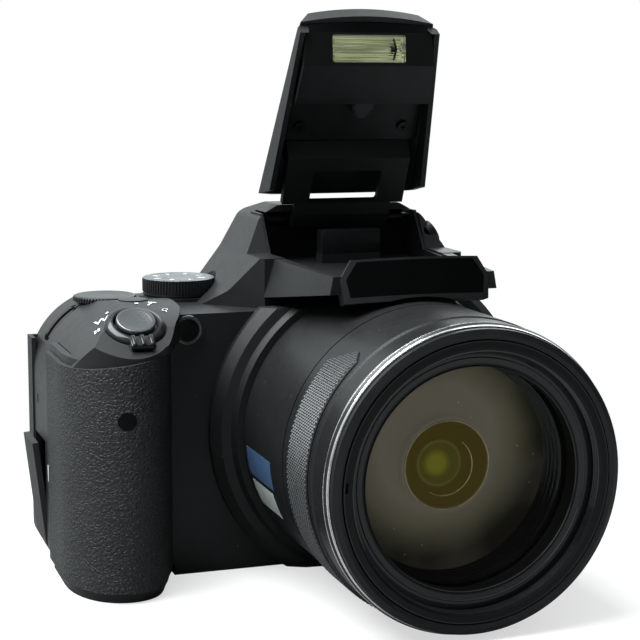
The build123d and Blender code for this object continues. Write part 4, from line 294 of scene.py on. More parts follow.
@shared
def rubbed(name, tone, roughness):
    """Plain soft rubber with a dusty, fine-pored skin."""
    finish = Finish(name, Specular_IOR_Level=0.35)
    place = finish.where()
    pore = finish.noise(place, 5200.0, 3.0, 0.65)
    dust = finish.noise(place, 140.0, 5.0, 0.65)
    finish.paint(
        Base_Color=finish.mix(dust.fit(0.4, 0.72), grey(tone * 0.85), grey(tone * 1.5)),
        Roughness=roughness + (pore - 0.5) * 0.12,
    )
    return finish.bump(pore, 0.00003).material


@shared
def metal(name, red, green, blue, roughness):
    """Bright metal with fine scratches and faint tarnish."""
    finish = Finish(name, Metallic=1.0)
    scratch = finish.noise(finish.where((0, 0, 0), (0.2, 0.4, 0.1), (1, 8, 1)), 1500.0, 3.0)
    cloud = finish.noise(finish.where(), 300.0, 4.0)
    dull = (red * 0.8, green * 0.8, blue * 0.8)
    finish.paint(
        Base_Color=finish.mix(cloud.fit(0.3, 0.75), (red, green, blue), dull),
        Roughness=roughness + scratch.fit(0.45, 0.7) * 0.14,
    )
    return finish.bump(scratch, 0.000004).material


@shared
def stepped(name, tone):
    """The front ring's black: glossy on its rim and face, matt in the thread and bore, where painted
    shade makes it far darker.
    """
    finish = Finish(name, Specular_IOR_Level=0.25, Coat_Roughness=0.22)
    out = finish.radius((0, 0, AXIS_HEIGHT), ABOUT_LENS)
    ring = finish.rings(out, 2600.0, 2.0)
    rim = out.fit(35.6 * MM, 36.0 * MM)
    face = out.fit(29.6 * MM, 29.9 * MM) * out.fit(31.9 * MM, 32.3 * MM, 1.0, 0.0)
    # Painted shade: the thread and bore take about a tenth of the tone of the rim and face.
    finish.paint(
        Base_Color=finish.mix(rim + face * 0.8, grey(tone * 0.12), grey(tone * 1.3)),
        Roughness=0.42 - face * 0.1 + (ring - 0.5) * 0.1,
        Coat_Weight=rim * 0.35 + face * 0.45,
    )
    return finish.material


@shared
def printed(name, red, green, blue):
    """A flat printed label, slightly uneven in its ink."""
    finish = Finish(name, Specular_IOR_Level=0.3)
    cloud = finish.noise(finish.where(), 700.0, 4.0, 0.6)
    thin, full = (tuple(part * share for part in (red, green, blue)) for share in (0.75, 1.2))
    finish.paint(
        Base_Color=finish.mix(cloud, thin, full),
        Roughness=0.4 + cloud * 0.15,
    )
    return finish.bump(cloud, 0.00001).material


@shared
def turned(name, tone, roughness, metallic, x, y, z, tilt):
    """A face turned on a lathe: fine rings about an axis tilted forward from Z."""
    finish = Finish(name, Metallic=metallic)
    ring = finish.rings(finish.radius((x, y, z), (tilt, 0.0, 0.0)), 6000.0, 3.0)
    finish.paint(
        Base_Color=finish.mix(ring, grey(tone * 0.75), grey(tone * 1.3)),
        Roughness=roughness + (ring - 0.5) * 0.18,
    )
    return finish.bump(ring, 0.000012).material


def pale_print():
    """The pale ink of the marks on the dials, the cover and the keys."""
    return moulded("pale_print", bpy.context.scene.bridge_print.tone, 0.5, 0.0003, 0.000004)


def at(x, y, z):
    """A point given in millimetres."""
    return Vector((x, y, z)) * MM


def fresh(name, body, material, bm, sharp=35.0, replaces=()):
    """Makes the mesh of a bmesh a piece that rides on a body."""
    bmesh.ops.recalc_face_normals(bm, faces=bm.faces)
    mesh = bpy.data.meshes.new(name)
    bm.to_mesh(mesh)
    bm.free()
    mesh.shade_smooth()
    mesh.set_sharp_from_angle(angle=math.radians(sharp))
    mesh.materials.append(material)
    piece = bpy.data.objects.new(name, mesh)
    bpy.context.scene.collection.objects.link(piece)
    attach(piece, body)
    if replaces:
        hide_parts(*replaces)


def dress(material, *nodes):
    """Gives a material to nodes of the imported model."""
    for name in nodes:
        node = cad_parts[name]
        node.data.materials.clear()
        node.data.materials.append(material)


def lathe(profile, centre, axis, steps=128, closed=True, turn=math.tau, start=0.0):
    """Spins a profile of distances out from an axis and along it."""
    bm = bmesh.new()
    side = SIDEWAYS if abs(axis.x) < 0.9 else UPWARD
    out = Matrix.Rotation(start, 3, axis) @ (side - axis * side.dot(axis)).normalized()
    dots = [bm.verts.new(centre + (out * wide + axis * along) * MM) for wide, along in profile]
    pairs = zip(dots, dots[1:] + dots[: 1 if closed else 0])
    lines = [bm.edges.new(pair) for pair in pairs]
    whole = abs(turn - math.tau) < 0.001
    bmesh.ops.spin(
        bm, geom=dots + lines, cent=centre, axis=axis, angle=turn, steps=steps, use_merge=whole
    )
    bmesh.ops.remove_doubles(bm, verts=bm.verts, dist=WELD)
    return bm


def joined(*parts):
    """One bmesh of several, so that like details share a piece."""
    whole = bmesh.new()
    for part in parts:
        mesh = bpy.data.meshes.new("part")
        part.to_mesh(mesh)
        part.free()
        whole.from_mesh(mesh)
        bpy.data.meshes.remove(mesh)
    return whole


def block(size, centre, turn=None, round_by=0.0, segments=2):
    """A block of a size about a centre, bevelled where a rounding is given."""
    bm = bmesh.new()
    bmesh.ops.create_cube(bm, size=1.0)
    bmesh.ops.scale(bm, vec=Vector(size) * MM, verts=bm.verts)
    if round_by:
        bmesh.ops.bevel(
            bm,
            geom=bm.edges[:],
            offset=round_by * MM,
            affect="EDGES",
            segments=segments,
            profile=0.5,
            material=-1,
        )
    if turn is not None:
        bmesh.ops.rotate(bm, cent=(0, 0, 0), matrix=turn, verts=bm.verts)
    bmesh.ops.translate(bm, vec=at(*centre), verts=bm.verts)
    return bm


def ribbed(bm, centre, axis, count, low, high, share):
    """Presses grooves into the rim between two heights, one beside each rib."""
    rib = 0.49
    across = axis.cross(SIDEWAYS)
    for vert in bm.verts:
        arm = vert.co - centre
        along = arm.dot(axis)
        out = arm - axis * along
        if low * MM <= along <= high * MM and out.length > 0.5 * MM:
            place = math.atan2(out.dot(across), out.dot(SIDEWAYS)) / math.tau * count
            if place % 1.0 > rib:
                vert.co -= out * share


def facing(normal, up):
    """The turn that lays a flat mark on a surface, with its top towards up."""
    normal = Vector(normal).normalized()
    across = Vector(up).cross(normal).normalized()
    return Matrix((across, normal.cross(across), normal)).transposed()


def letter(text, size, thick):
    """Raised characters as a bmesh, flat in XY about their middle."""
    bolder = 0.025
    curve = bpy.data.curves.new("letter", "FONT")
    curve.body = text
    curve.size = size * MM
    curve.extrude = thick * MM
    curve.offset = size * MM * bolder
    curve.align_x = "CENTER"
    curve.align_y = "CENTER"
    curve.resolution_u = 3
    carrier = bpy.data.objects.new("letter", curve)
    mesh = bpy.data.meshes.new_from_object(carrier)
    bm = bmesh.new()
    bm.from_mesh(mesh)
    bpy.data.objects.remove(carrier)
    bpy.data.curves.remove(curve)
    bpy.data.meshes.remove(mesh)
    bmesh.ops.remove_doubles(bm, verts=bm.verts, dist=WELD)
    return bm


def laid(bm, place, normal, up):
    """Turns a flat mark onto a surface and moves it to a place in millimetres."""
    turn = facing(normal, up)
    bmesh.ops.rotate(bm, cent=(0, 0, 0), matrix=turn, verts=bm.verts)
    bmesh.ops.translate(bm, vec=at(*place), verts=bm.verts)
    return bm


def pressed(bm, place, way, nodes, lift):
    """Drops a flat mark made about a place along a direction onto nodes of the model."""
    back, reach = 8 * MM, 20 * MM
    graph = bpy.context.evaluated_depsgraph_get()
    trees = [BVHTree.FromObject(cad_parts[name], graph) for name in nodes]
    centre = at(*place)
    for vert in bm.verts:
        rise = (centre - vert.co).dot(way)
        start = vert.co - way * back
        hits = [hit for hit in (tree.ray_cast(start, way, reach) for tree in trees) if hit[0]]
        if not hits:
            raise RuntimeError("a mark lies off the cover")
        point = min(hits, key=lambda hit: hit[3])[0]
        vert.co = point - way * (rise + lift * MM)
    return bm


def wrapped(near, far, start, turn):
    """A thin patch on the barrel, between two depths and from an angle in degrees."""
    thick = 0.04
    bm = bmesh.new()
    out = Matrix.Rotation(math.radians(start), 3, FORWARD) @ SIDEWAYS
    dots = [
        bm.verts.new(LENS_AXIS + (out * BARREL_SKIN + FORWARD * depth) * MM)
        for depth in (near, near * 0.67 + far * 0.33, near * 0.33 + far * 0.67, far)
    ]
    lines = [bm.edges.new(pair) for pair in zip(dots, dots[1:])]
    bmesh.ops.spin(
        bm, geom=dots + lines, cent=LENS_AXIS, axis=FORWARD, angle=math.radians(turn), steps=24
    )
    bmesh.ops.recalc_face_normals(bm, faces=bm.faces)
    bmesh.ops.solidify(bm, geom=bm.faces[:], thickness=-thick * MM)
    return bm


class CasingSettings(bpy.types.PropertyGroup):
    """Moulded plastic of the covers, dials and flash head."""

    tone: bpy.props.FloatProperty(
        name="Plastic tone", description="Reflectance of the black covers",
        default=0.0095, min=0.0, max=1.0,
    )
    roughness: bpy.props.FloatProperty(
        name="Plastic roughness", description="Roughness of the covers",
        default=0.42, min=0.0, max=1.0,
    )
    grain: bpy.props.FloatProperty(
        name="Grain size", description="Width of the mould's grain", default=0.00022, unit="LENGTH"
    )
    grain_depth: bpy.props.FloatProperty(
        name="Grain depth", description="Height of the mould's grain", default=0.000014, unit="LENGTH"
    )


class GripSettings(bpy.types.PropertyGroup):
    """Grained rubber of the grip and the knurled band of the barrel."""

    tone: bpy.props.FloatProperty(
        name="Rubber tone", description="Reflectance of the grip rubber",
        default=0.0115, min=0.0, max=1.0,
    )
    pebble: bpy.props.FloatProperty(
        name="Pebble size", description="Width of one pebble of the grain",
        default=0.00115, unit="LENGTH",
    )
    depth: bpy.props.FloatProperty(
        name="Pebble depth", description="Height of the grain", default=0.00021, unit="LENGTH"
    )
    knurl: bpy.props.FloatProperty(
        name="Knurl pitch", description="Distance between the points of the knurled band",
        default=0.00135, unit="LENGTH",
    )


class TrimSettings(bpy.types.PropertyGroup):
    """Bright lines round the front of the barrel."""

    chrome: bpy.props.FloatVectorProperty(
        name="Line colour", description="Colour of the bright lines",
        default=(0.80, 0.80, 0.79), size=3, subtype="COLOR",
    )


class OpticsSettings(bpy.types.PropertyGroup):
    """Glass of the lens."""

    # The coating colour tints the second element and also glows from it as painted light.
    coat_tint_and_glow: bpy.props.FloatVectorProperty(
        name="Coating colour", description="Brown-grey of the coated glass inside the lens",
        default=(0.086, 0.079, 0.060), size=3, subtype="COLOR",
    )
    # The olive colours the small middle lens and also glows from it as painted light.
    depths: bpy.props.FloatVectorProperty(
        name="Middle colour", description="Olive of the small lens in the middle",
        default=(0.036, 0.026, 0.0040), size=3, subtype="COLOR",
    )


class PrintSettings(bpy.types.PropertyGroup):
    """Pale marks on the dials and covers."""

    tone: bpy.props.FloatProperty(
        name="Print tone", description="Reflectance of the pale marks", default=0.55, min=0.0, max=1.0
    )
    count: bpy.props.IntProperty(
        name="Dial numbers", description="How many numbers the mode dial carries",
        default=8, min=2, max=12,
    )


class StageSettings(bpy.types.PropertyGroup):
    """Camera, lamps, floor and background."""

    lens: bpy.props.FloatProperty(
        name="Focal length", description="Focal length of the viewing camera",
        default=90.93, unit="CAMERA",
    )
    key: bpy.props.FloatProperty(
        name="Top lamp", description="Power of the large lamp above", default=60.0, unit="POWER"
    )
    fill: bpy.props.FloatProperty(
        name="Fill lamp", description="Power of the smaller lamp", default=1.6, unit="POWER"
    )
    sky: bpy.props.FloatProperty(
        name="Sky", description="Strength of the light from all round", default=0.8, min=0.0, max=2.0
    )
    backdrop: bpy.props.FloatVectorProperty(
        name="Backdrop colour", description="Colour of the floor",
        default=(0.93, 0.88, 0.87), size=3, subtype="COLOR",
    )


class Step:
    """What every operator of this add-on shares."""

    bl_options = {"REGISTER", "UNDO"}


class CAMERA_OT_casing(Step, bpy.types.Operator):
    """Finishes the covers, the flash head, the rear keys and the inner pieces"""

    bl_idname = "bridge_camera.casing"
    bl_label = "Casing"

    def execute(self, context):
        casing = context.scene.bridge_casing
        tone, grain, depth = casing.tone, casing.grain, casing.grain_depth
        skin = moulded("casing_plastic", tone, casing.roughness, grain, depth)
        dress(skin, "front_cover", "rear_cover", "top_cover", "base_cover", "battery_door")
        dress(skin, "flash_lid", "monitor_case", "monitor_hinge")
        inner = moulded("inner_plastic", tone * 0.5, 0.5, grain, depth)
        dress(inner, "flash_well", "flash_bracket", "chassis", "zoom_motor")
        dress(inner, "viewfinder_block", "connector_block")
        dress(self.panel(tone), "flash_panel")
        barrel = moulded("barrel_paint", tone * 0.9, 0.38, 0.00014, 0.000008)
        dress(barrel, "lens_barrel", "zoom_barrel_rear", "zoom_drive_ring", "side_zoom_key")
        dress(moulded("collar_plastic", tone * 0.7, 0.55, grain, depth), "barrel_collar")
        dress(stepped("ring_paint", tone), "zoom_barrel_front")
        dress(moulded("trim_satin", tone * 0.9, 0.34, FINE_GRAIN, 0.000004), "barrel_trim_ring")
        keys = moulded("key_plastic", tone * 1.3, 0.34, FINE_GRAIN, 0.000008)
        dress(keys, "menu_button", "delete_button", "playback_button", "display_button")
        dress(keys, "record_button", "ok_button", "selector_ring", "power_button", "flash_button")
        dress(polished("plate_gloss", 0.002, 0.3, 0.08), "name_plate")
        dress(rubbed("soft_rubber", 0.007, 0.7), "eyecup")
        dress(rubbed("flap_rubber", 0.012, 0.62), "connector_cover", "thumb_rubber")
        dress(metal("steel", 0.56, 0.56, 0.57, 0.3), "case_screws", "tripod_bush")
        black_steel = metal("blackened_steel", 0.03, 0.03, 0.03, 0.35)
        dress(black_steel, "flash_pin", "flash_springs", "flash_screws")
        dress(moulded("lug_plastic", 0.09, 0.4, FINE_GRAIN, 0.000005), "strap_lugs")
        dress(moulded("battery_shell", 0.2, 0.5, FINE_GRAIN, 0.00001), "battery", "memory_card")
        dress(moulded("board_green", 0.05, 0.5, 0.0004, 0.00001), "main_board", "image_sensor")
        dress(polished("capacitor_sleeve", 0.03, 0.3), "flash_capacitor")
        return {"FINISHED"}

    def panel(self, tone):
        """Satin black below, and darker on the facet that frames the flash window."""
        finish = Finish("panel_plastic", Specular_IOR_Level=0.28, Coat_Roughness=0.1)
        place = finish.where()
        up = finish.height()
        cloud = finish.noise(place, 160.0, 4.0, 0.6)
        fine = finish.noise(place, 5000.0, 2.0)
        facet = up.fit(143.6 * MM, 143.8 * MM)
        floor = up.fit(134.6 * MM, 134.9 * MM, 0.35, 1.0)
        shade = cloud.fit(0.3, 0.7) * 0.4 + floor * 0.6
        skin = finish.mix(shade, grey(tone * 0.25), grey(tone * 1.2))
        finish.paint(
            Base_Color=finish.mix(facet, skin, grey(0.0015)),
            Roughness=0.36 + (cloud - 0.5) * 0.12 + facet * 0.1,
            Coat_Weight=facet * 0.06,
        )
        return finish.bump(fine, 0.000006).material


class CAMERA_OT_grip(Step, bpy.types.Operator):
    """Finishes the grained rubber of the grip"""

    bl_idname = "bridge_camera.grip"
    bl_label = "Grip"

    def execute(self, context):
        grip = context.scene.bridge_grip
        dress(leather("grip_leather", grip.tone, grip.pebble, grip.depth), "grip_rubber")
        return {"FINISHED"}


class CAMERA_OT_band(Step, bpy.types.Operator):
    """Makes the knurled rubber band round the lens barrel"""

    bl_idname = "bridge_camera.band"
    bl_label = "Knurled band"

    def execute(self, context):
        half = context.scene.bridge_grip.knurl / 2
        near, far = 75.0 * MM, 91.5 * MM
        seat, groove, rise = 40.46 * MM, 40.66 * MM, 0.38 * MM
        first, sweep, slack = math.radians(128.0), math.radians(284.0), 0.001
        rows = 2 * round((far - near) / half / 2)
        step = (far - near) / rows
        columns = round(sweep * groove / half)
        bm = bmesh.new()
        out = Matrix.Rotation(first, 3, FORWARD) @ SIDEWAYS
        dots = [
            bm.verts.new(LENS_AXIS + out * groove + FORWARD * (near + step * row))
            for row in range(rows + 1)
        ]
        lines = [bm.edges.new(pair) for pair in zip(dots, dots[1:])]
        bmesh.ops.spin(
            bm, geom=dots + lines, cent=LENS_AXIS, axis=FORWARD, angle=sweep, steps=columns
        )
        odd = set()
        for vert in bm.verts:
            arm = vert.co - LENS_AXIS
            row = round((arm.dot(FORWARD) - near) / step)
            turn = (math.atan2(arm.z, arm.x) - first + slack) % math.tau
            if (row + round(turn / sweep * columns)) % 2:
                odd.add(vert)
            elif 1 < row < rows - 1:
                vert.co += Vector((arm.x, 0, arm.z)).normalized() * rise
        for face in bm.faces[:]:
            corners = [vert for vert in face.verts if vert in odd]
            bmesh.utils.face_split(face, corners[0], corners[1])
        self.pointed(bm)
        made = bmesh.ops.extrude_face_region(bm, geom=bm.faces[:])["geom"]
        for vert in made:
            if isinstance(vert, bmesh.types.BMVert):
                arm = vert.co - LENS_AXIS
                wide = Vector((arm.x, 0, arm.z))
                vert.co += wide.normalized() * (seat - wide.length)
        fresh("knurled_band", "body", self.skin(), bm, 20.0, ("barrel_grip_band",))
        return {"FINISHED"}

    def skin(self):
        """Rubber with painted shade darkening the grooves and painted highlight paling the points."""
        finish = Finish("band_rubber", Specular_IOR_Level=0.4)
        high = finish.radius((0, 0, AXIS_HEIGHT), ABOUT_LENS).fit(40.7 * MM, 40.98 * MM)
        dust = finish.noise(finish.where(), 140.0, 5.0, 0.65)
        # Painted shade and highlight: the grooves are painted near black and the points pale, with a
        # fifth of random dust tone.
        shade = high * 0.8 + dust.fit(0.4, 0.7) * 0.2
        finish.paint(
            Base_Color=finish.mix(shade, grey(0.003), grey(0.055)),
            Roughness=0.5 - high * 0.12 + (dust - 0.5) * 0.1,
        )
        return finish.bump(dust, 0.00002).material

    def pointed(self, bm):
        """Cuts both ends of the band to a point that leans towards the front."""
        outline = ((-3.2, 75.0), (3.0, 87.3), (0.0, 91.5))
        beside = 30 * MM
        for angle, way in ((133.0, -1), (47.0, 1)):
            spoke = Matrix.Rotation(math.radians(angle), 3, FORWARD) @ SIDEWAYS
            gap = FORWARD.cross(spoke) * way
            for ends in zip(outline, outline[1:]):
                start, end = (gap * across + FORWARD * depth for across, depth in ends)
                normal = spoke.cross(end - start).normalized()
                if normal.dot(gap) < 0:
                    normal.negate()
                near = [vert for vert in bm.verts if (vert.co - LENS_AXIS).dot(spoke) > beside]
                held = set(near)
                lines = [edge for edge in bm.edges if held.issuperset(edge.verts)]
                faces = [face for face in bm.faces if held.issuperset(face.verts)]
                bmesh.ops.bisect_plane(
                    bm,
                    geom=near + lines + faces,
                    plane_co=LENS_AXIS + start * MM,
                    plane_no=normal,
                    clear_outer=True,
                )


class CAMERA_OT_trim(Step, bpy.types.Operator):
    """Makes the bright lines and the fine ridges of the front of the barrel"""

    bl_idname = "bridge_camera.trim"
    bl_label = "Bright lines"

    def execute(self, context):
        chrome = metal("chrome_line", *context.scene.bridge_trim.chrome, 0.16)
        rear = ((40.0, 101.2), (40.13, 101.28), (40.13, 101.78), (40.0, 101.9))
        front = (
            (39.5, 102.85), (39.62, 102.9), (39.4, 103.36),
            (39.42, 103.7), (39.25, 103.74), (39.22, 103.4),
        )
        lines = [lathe(profile, LENS_AXIS, FORWARD, 192) for profile in (rear, front)]
        fresh("trim_lines", "rear_stage", chrome, joined(*lines), 40.0)
        rings = [
            ((33.6, deep), (33.28, deep + 0.16), (33.6, deep + 0.32))
            for deep in (102.6, 103.35, 104.1, 104.85)
        ]
        rings += [
            ((wide, deep), (wide + 0.16, deep + 0.14), (wide + 0.32, deep))
            for wide, deep in ((31.1, 101.62), (28.95, 101.3))
        ]
        edge = polished("ring_edge", 0.012, 0.22)
        turns = [lathe(ring, LENS_AXIS, FORWARD, 160) for ring in rings]
        fresh("ring_threads", "front_stage", edge, joined(*turns), 30.0)
        return {"FINISHED"}


class CAMERA_OT_glass(Step, bpy.types.Operator):
    """Finishes the lens, the windows and the screen, and makes the lamp's bezel"""

    bl_idname = "bridge_camera.glass"
    bl_label = "Glass"

    def execute(self, context):
        optics = context.scene.bridge_optics
        clear = Finish("front_glass", Base_Color=(0.008, 0.008, 0.004), Roughness=0.03, IOR=1.18)
        rim = clear.node("ShaderNodeLayerWeight", {}, {"Blend": 0.25}, out="Facing")
        clear.paint(Alpha=rim.fit(0.3, 1.0, 0.1, 0.6))
        dress(clear.material, "front_element")
        # The second element glows by emission in its own colour, as painted light. Round a middle above
        # and left of the axis, a pool of painted light fades to painted shade towards the rim; the cloud
        # and the dust specks are the glass's own.
        coat = Finish("coated_glass", Specular_IOR_Level=0.1, Emission_Strength=0.8)
        out = coat.radius((-0.0018, 0, AXIS_HEIGHT + 0.0045), ABOUT_LENS)
        cloud = coat.noise(coat.where(), 55.0, 3.0)
        speck = coat.node("ShaderNodeTexVoronoi", {}, {"Vector": coat.where(), "Scale": 260.0})
        coat_tint_and_glow, half_glass = Vector(optics.coat_tint_and_glow), 30 * MM
        light_pool_stops = [(0.0, coat_tint_and_glow), (0.55, coat_tint_and_glow)]
        for place, share in ((0.72, (0.66, 0.66, 0.56)), (0.87, (0.22, 0.26, 0.2)), (0.98, (0.07,) * 3)):
            light_pool_stops.append((place, coat_tint_and_glow * Vector(share)))
        painted_light_pool = coat.node("ShaderNodeValToRGB", {"stops": light_pool_stops}, {0: out / half_glass})
        painted_glow_colour = coat.mix(cloud.fit(0.35, 0.7, 0.0, 0.12), painted_light_pool, (0.13, 0.12, 0.1))
        coat.paint(
            Base_Color=coat.mix(speck.fit(0.03, 0.06, 1.0, 0.0), painted_glow_colour, (0.3, 0.28, 0.25)),
            Roughness=0.32 + cloud * 0.12,
            Emission_Color=painted_glow_colour,
        )
        dress(coat.material, "second_element")
        dress(polished("dark_window", 0.0015, 0.45, 0.12), "infrared_window")
        dress(polished("lamp_window", 0.003, 0.4, 0.15), "assist_lamp_window")
        lamp = at(-54.3, 0, 70.6)
        collar = ((3.15, 28.6), (3.3, 29.12), (3.7, 29.2), (4.05, 29.1), (4.2, 28.6))
        bezel = lathe(collar, lamp, FORWARD, 64)
        gloss = polished("bezel_gloss", 0.03, 0.24)
        fresh("lamp_bezel", "body", gloss, bezel, 40.0)
        dress(polished("finder_glass", 0.003, 0.1), "eyepiece_glass")
        dress(polished("screen_glass", 0.0015, 0.12, 0.3), "monitor_screen")
        return {"FINISHED"}


class CAMERA_OT_lens_middle(Step, bpy.types.Operator):
    """Makes the small olive lens with its painted glow and highlights, a thin ring, a half ring that
    stands for a bright reflection, and the dark baffles round it
    """

    bl_idname = "bridge_camera.lens_middle"
    bl_label = "Middle of the lens"

    def execute(self, context):
        olive = tuple(context.scene.bridge_optics.depths)
        # Painted light: the middle lens glows by emission, with a painted highlight off the axis, a
        # paler painted pool and a thin painted bright ring round it.
        deep = Finish("olive_glass", Specular_IOR_Level=0.06, Emission_Strength=0.85)
        glow = deep.radius((-0.0031, 0, AXIS_HEIGHT + 0.0008), ABOUT_LENS)
        pool = deep.radius((-0.0024, 0, AXIS_HEIGHT + 0.0008), ABOUT_LENS)
        cloud = deep.noise(deep.where(), 500.0, 3.0)
        ring = pool.fit(5.3 * MM, 5.9 * MM) * pool.fit(5.9 * MM, 6.5 * MM, 1.0, 0.0)
        inside = deep.mix(pool.fit(5.9 * MM, 6.2 * MM, 1.0, 0.0), olive, (0.040, 0.037, 0.0055))
        lit = deep.mix(glow.fit(1.6 * MM, 4.4 * MM, 1.0, 0.0), inside, (0.095, 0.095, 0.008))
        painted_glow_colour = deep.mix(ring * 0.3 + cloud * 0.06, lit, (0.11, 0.105, 0.03))
        deep.paint(Base_Color=painted_glow_colour, Roughness=0.25 + cloud * 0.1, Emission_Color=painted_glow_colour)
        profile = (
            (0, 85.6), (4, 85.55), (8, 85.42), (11.5, 85.25),
            (11.5, 85.15), (8, 84.75), (4, 84.35), (0, 84.2),
        )
        dome = lathe(profile, LENS_AXIS, FORWARD, 96, False)
        fresh("middle_lens", "front_stage", deep.material, dome)
        gold = metal("lens_ring_gold", 0.85, 0.68, 0.36, 0.3)
        bezel = lathe(self.wire(11.85, 85.35, 0.13), LENS_AXIS, FORWARD, 128)
        # The gold half ring off the axis is a painted reflection: it stands for a bright arc seen inside
        # the lens.
        centre = LENS_AXIS + at(-0.75, 0, -0.2)
        sweep, start = math.radians(176), math.radians(-124)
        reflection_arc = lathe(self.wire(7.8, 85.5, 0.17), centre, FORWARD, 72, True, sweep, start)
        fresh("lens_rings", "front_stage", gold, joined(bezel, reflection_arc), 60.0)
        dark = polished("baffle_black", 0.004, 0.35, 0.5)
        wall, edge = 28.95, 28.1
        fins = []
        for depth in (84.6, 86.6, 88.6, 90.6, 92.6):
            fin = ((wall, depth), (wall, depth + 0.9), (edge, depth + 0.55), (edge, depth + 0.4))
            fins.append(lathe(fin, LENS_AXIS, FORWARD, 128))
        fresh("lens_baffles", "front_stage", dark, joined(*fins), 30.0)
        return {"FINISHED"}

    def wire(self, radius, depth, thick):
        """The profile of a thin round ring."""
        corners = 8
        turns = [math.tau * corner / corners for corner in range(corners)]
        return [(radius + thick * math.cos(turn), depth + thick * math.sin(turn)) for turn in turns]


class CAMERA_OT_flash(Step, bpy.types.Operator):
    """Makes the ribbed flash window, what shows behind it, the catch and the brow"""

    bl_idname = "bridge_camera.flash"
    bl_label = "Flash"

    def execute(self, context):
        corner = at(0, -26.834, 143.831)
        along = Vector((0, 0.07585, 0.99712))
        out = Vector((0, -0.99712, 0.07585))
        self.window(corner, along, out)
        dress(self.foil(), "flash_reflector")
        self.catch(context.scene.bridge_casing.tone)
        self.brow()
        middle = corner + (along * 4.85 - out * 3.3) * MM
        tip = lathe(((0, 8.2), (1.25, 7.2), (1.25, 8.9), (0, 9.9)), middle, SIDEWAYS, 24, False)
        posts = []
        for place, lean in ((3.1, -0.3), (6.6, 0.3)):
            centre = corner / MM + along * place - out * 1.9 + SIDEWAYS * 8.3
            turn = Matrix((SIDEWAYS, along, out)).transposed() @ Matrix.Rotation(lean, 3, "Z")
            posts.append(block((0.55, 3.9, 0.5), centre, turn, 0.1))
        dark = metal("electrode_dark", 0.03, 0.03, 0.02, 0.4)
        fresh("flash_electrode", "flash_head", dark, joined(tip, *posts))
        return {"FINISHED"}

    def window(self, corner, along, out):
        """A clear plate with ribs across its front, above the corner of the facet."""
        teeth = 13
        half = 10.98
        low, high = 0.98, 8.72
        back, valley, ridge = -1.2, -0.12, 0.02
        pitch = (high - low) / teeth
        edge = [(low, back), (high, back), (high, valley)]
        for tooth in range(teeth):
            edge += [(high - pitch * (tooth + 0.5), ridge), (high - pitch * (tooth + 1), valley)]
        bm = bmesh.new()
        left = corner - SIDEWAYS * half * MM
        face = bm.faces.new([bm.verts.new(left + (along * up + out * deep) * MM) for up, deep in edge])
        made = bmesh.ops.extrude_face_region(bm, geom=[face])["geom"]
        moved = [vert for vert in made if isinstance(vert, bmesh.types.BMVert)]
        bmesh.ops.translate(bm, vec=SIDEWAYS * half * 2 * MM, verts=moved)
        glass = Finish("flash_lens", Base_Color=(0.96, 0.98, 0.88), Roughness=0.04, IOR=1.3)
        glass.paint(Transmission_Weight=1.0)
        fresh("ribbed_window", "flash_head", glass.material, bm, 20.0, ("flash_window",))

    def foil(self):
        """The brushed foil of the reflector, which shines a little of itself."""
        foil = Finish("reflector_foil", Metallic=1.0, Emission_Color=(0.86, 0.9, 0.62))
        brushed = foil.noise(foil.where((0, 0, 0), (0, 0, 0), (0.05, 1, 1)), 1100.0, 2.0)
        foil.paint(
            Base_Color=foil.mix(brushed.fit(0.42, 0.56), (0.2, 0.22, 0.12), (0.98, 1.0, 0.84)),
            Roughness=0.3 + brushed * 0.2,
            Emission_Strength=0.12,
        )
        return foil.bump(brushed, 0.00001).material

    def catch(self, tone):
        """The catch that hangs from the step of the flash head."""
        hinge = Vector((0, 2.6, 98.2))
        up = Vector((0, -0.490, 0.8717))
        inward = Vector((0, -0.8717, -0.490))
        bm = bmesh.new()
        for across, along, deep in (
            (-2.3, 42.3, 4.0), (3.5, 42.3, 4.0), (-2.3, 42.3, -1.25), (3.5, 42.3, -1.25),
            (-2.3, 40.4, 3.9), (3.5, 40.4, 3.9), (-0.2, 37.0, 3.3), (1.4, 37.0, 3.3),
            (-0.8, 36.2, -1.25), (2.0, 36.2, -1.25),
        ):
            bm.verts.new((hinge + SIDEWAYS * across + up * along + inward * deep) * MM)
        bmesh.ops.convex_hull(bm, input=bm.verts[:])
        skin = moulded("catch_plastic", tone * 3.5, 0.3, FINE_GRAIN, 0.000004)
        fresh("flash_catch", "flash_head", skin, bm, 30.0)

    def brow(self):
        """The thin gloss strip above the window's facet, with a bowed upper edge."""
        half, foot, crown, steps = 18.3, 153.1, 156.1, 24
        bm = bmesh.new()
        low, high = [], []
        for step in range(steps + 1):
            across = half * (step * 2 / steps - 1)
            top = crown - (across / half) ** 2
            low.append(bm.verts.new(at(across, -26.05, foot)))
            high.append(bm.verts.new(at(across * 0.985, -25.0, top)))
        for step in range(steps):
            bm.faces.new((low[step], low[step + 1], high[step + 1], high[step]))
        bmesh.ops.recalc_face_normals(bm, faces=bm.faces)
        bmesh.ops.solidify(bm, geom=bm.faces[:], thickness=0.5 * MM)
        gloss = polished("brow_gloss", 0.0015, 0.25, 0.12)
        fresh("flash_brow", "flash_head", gloss, bm, 30.0)


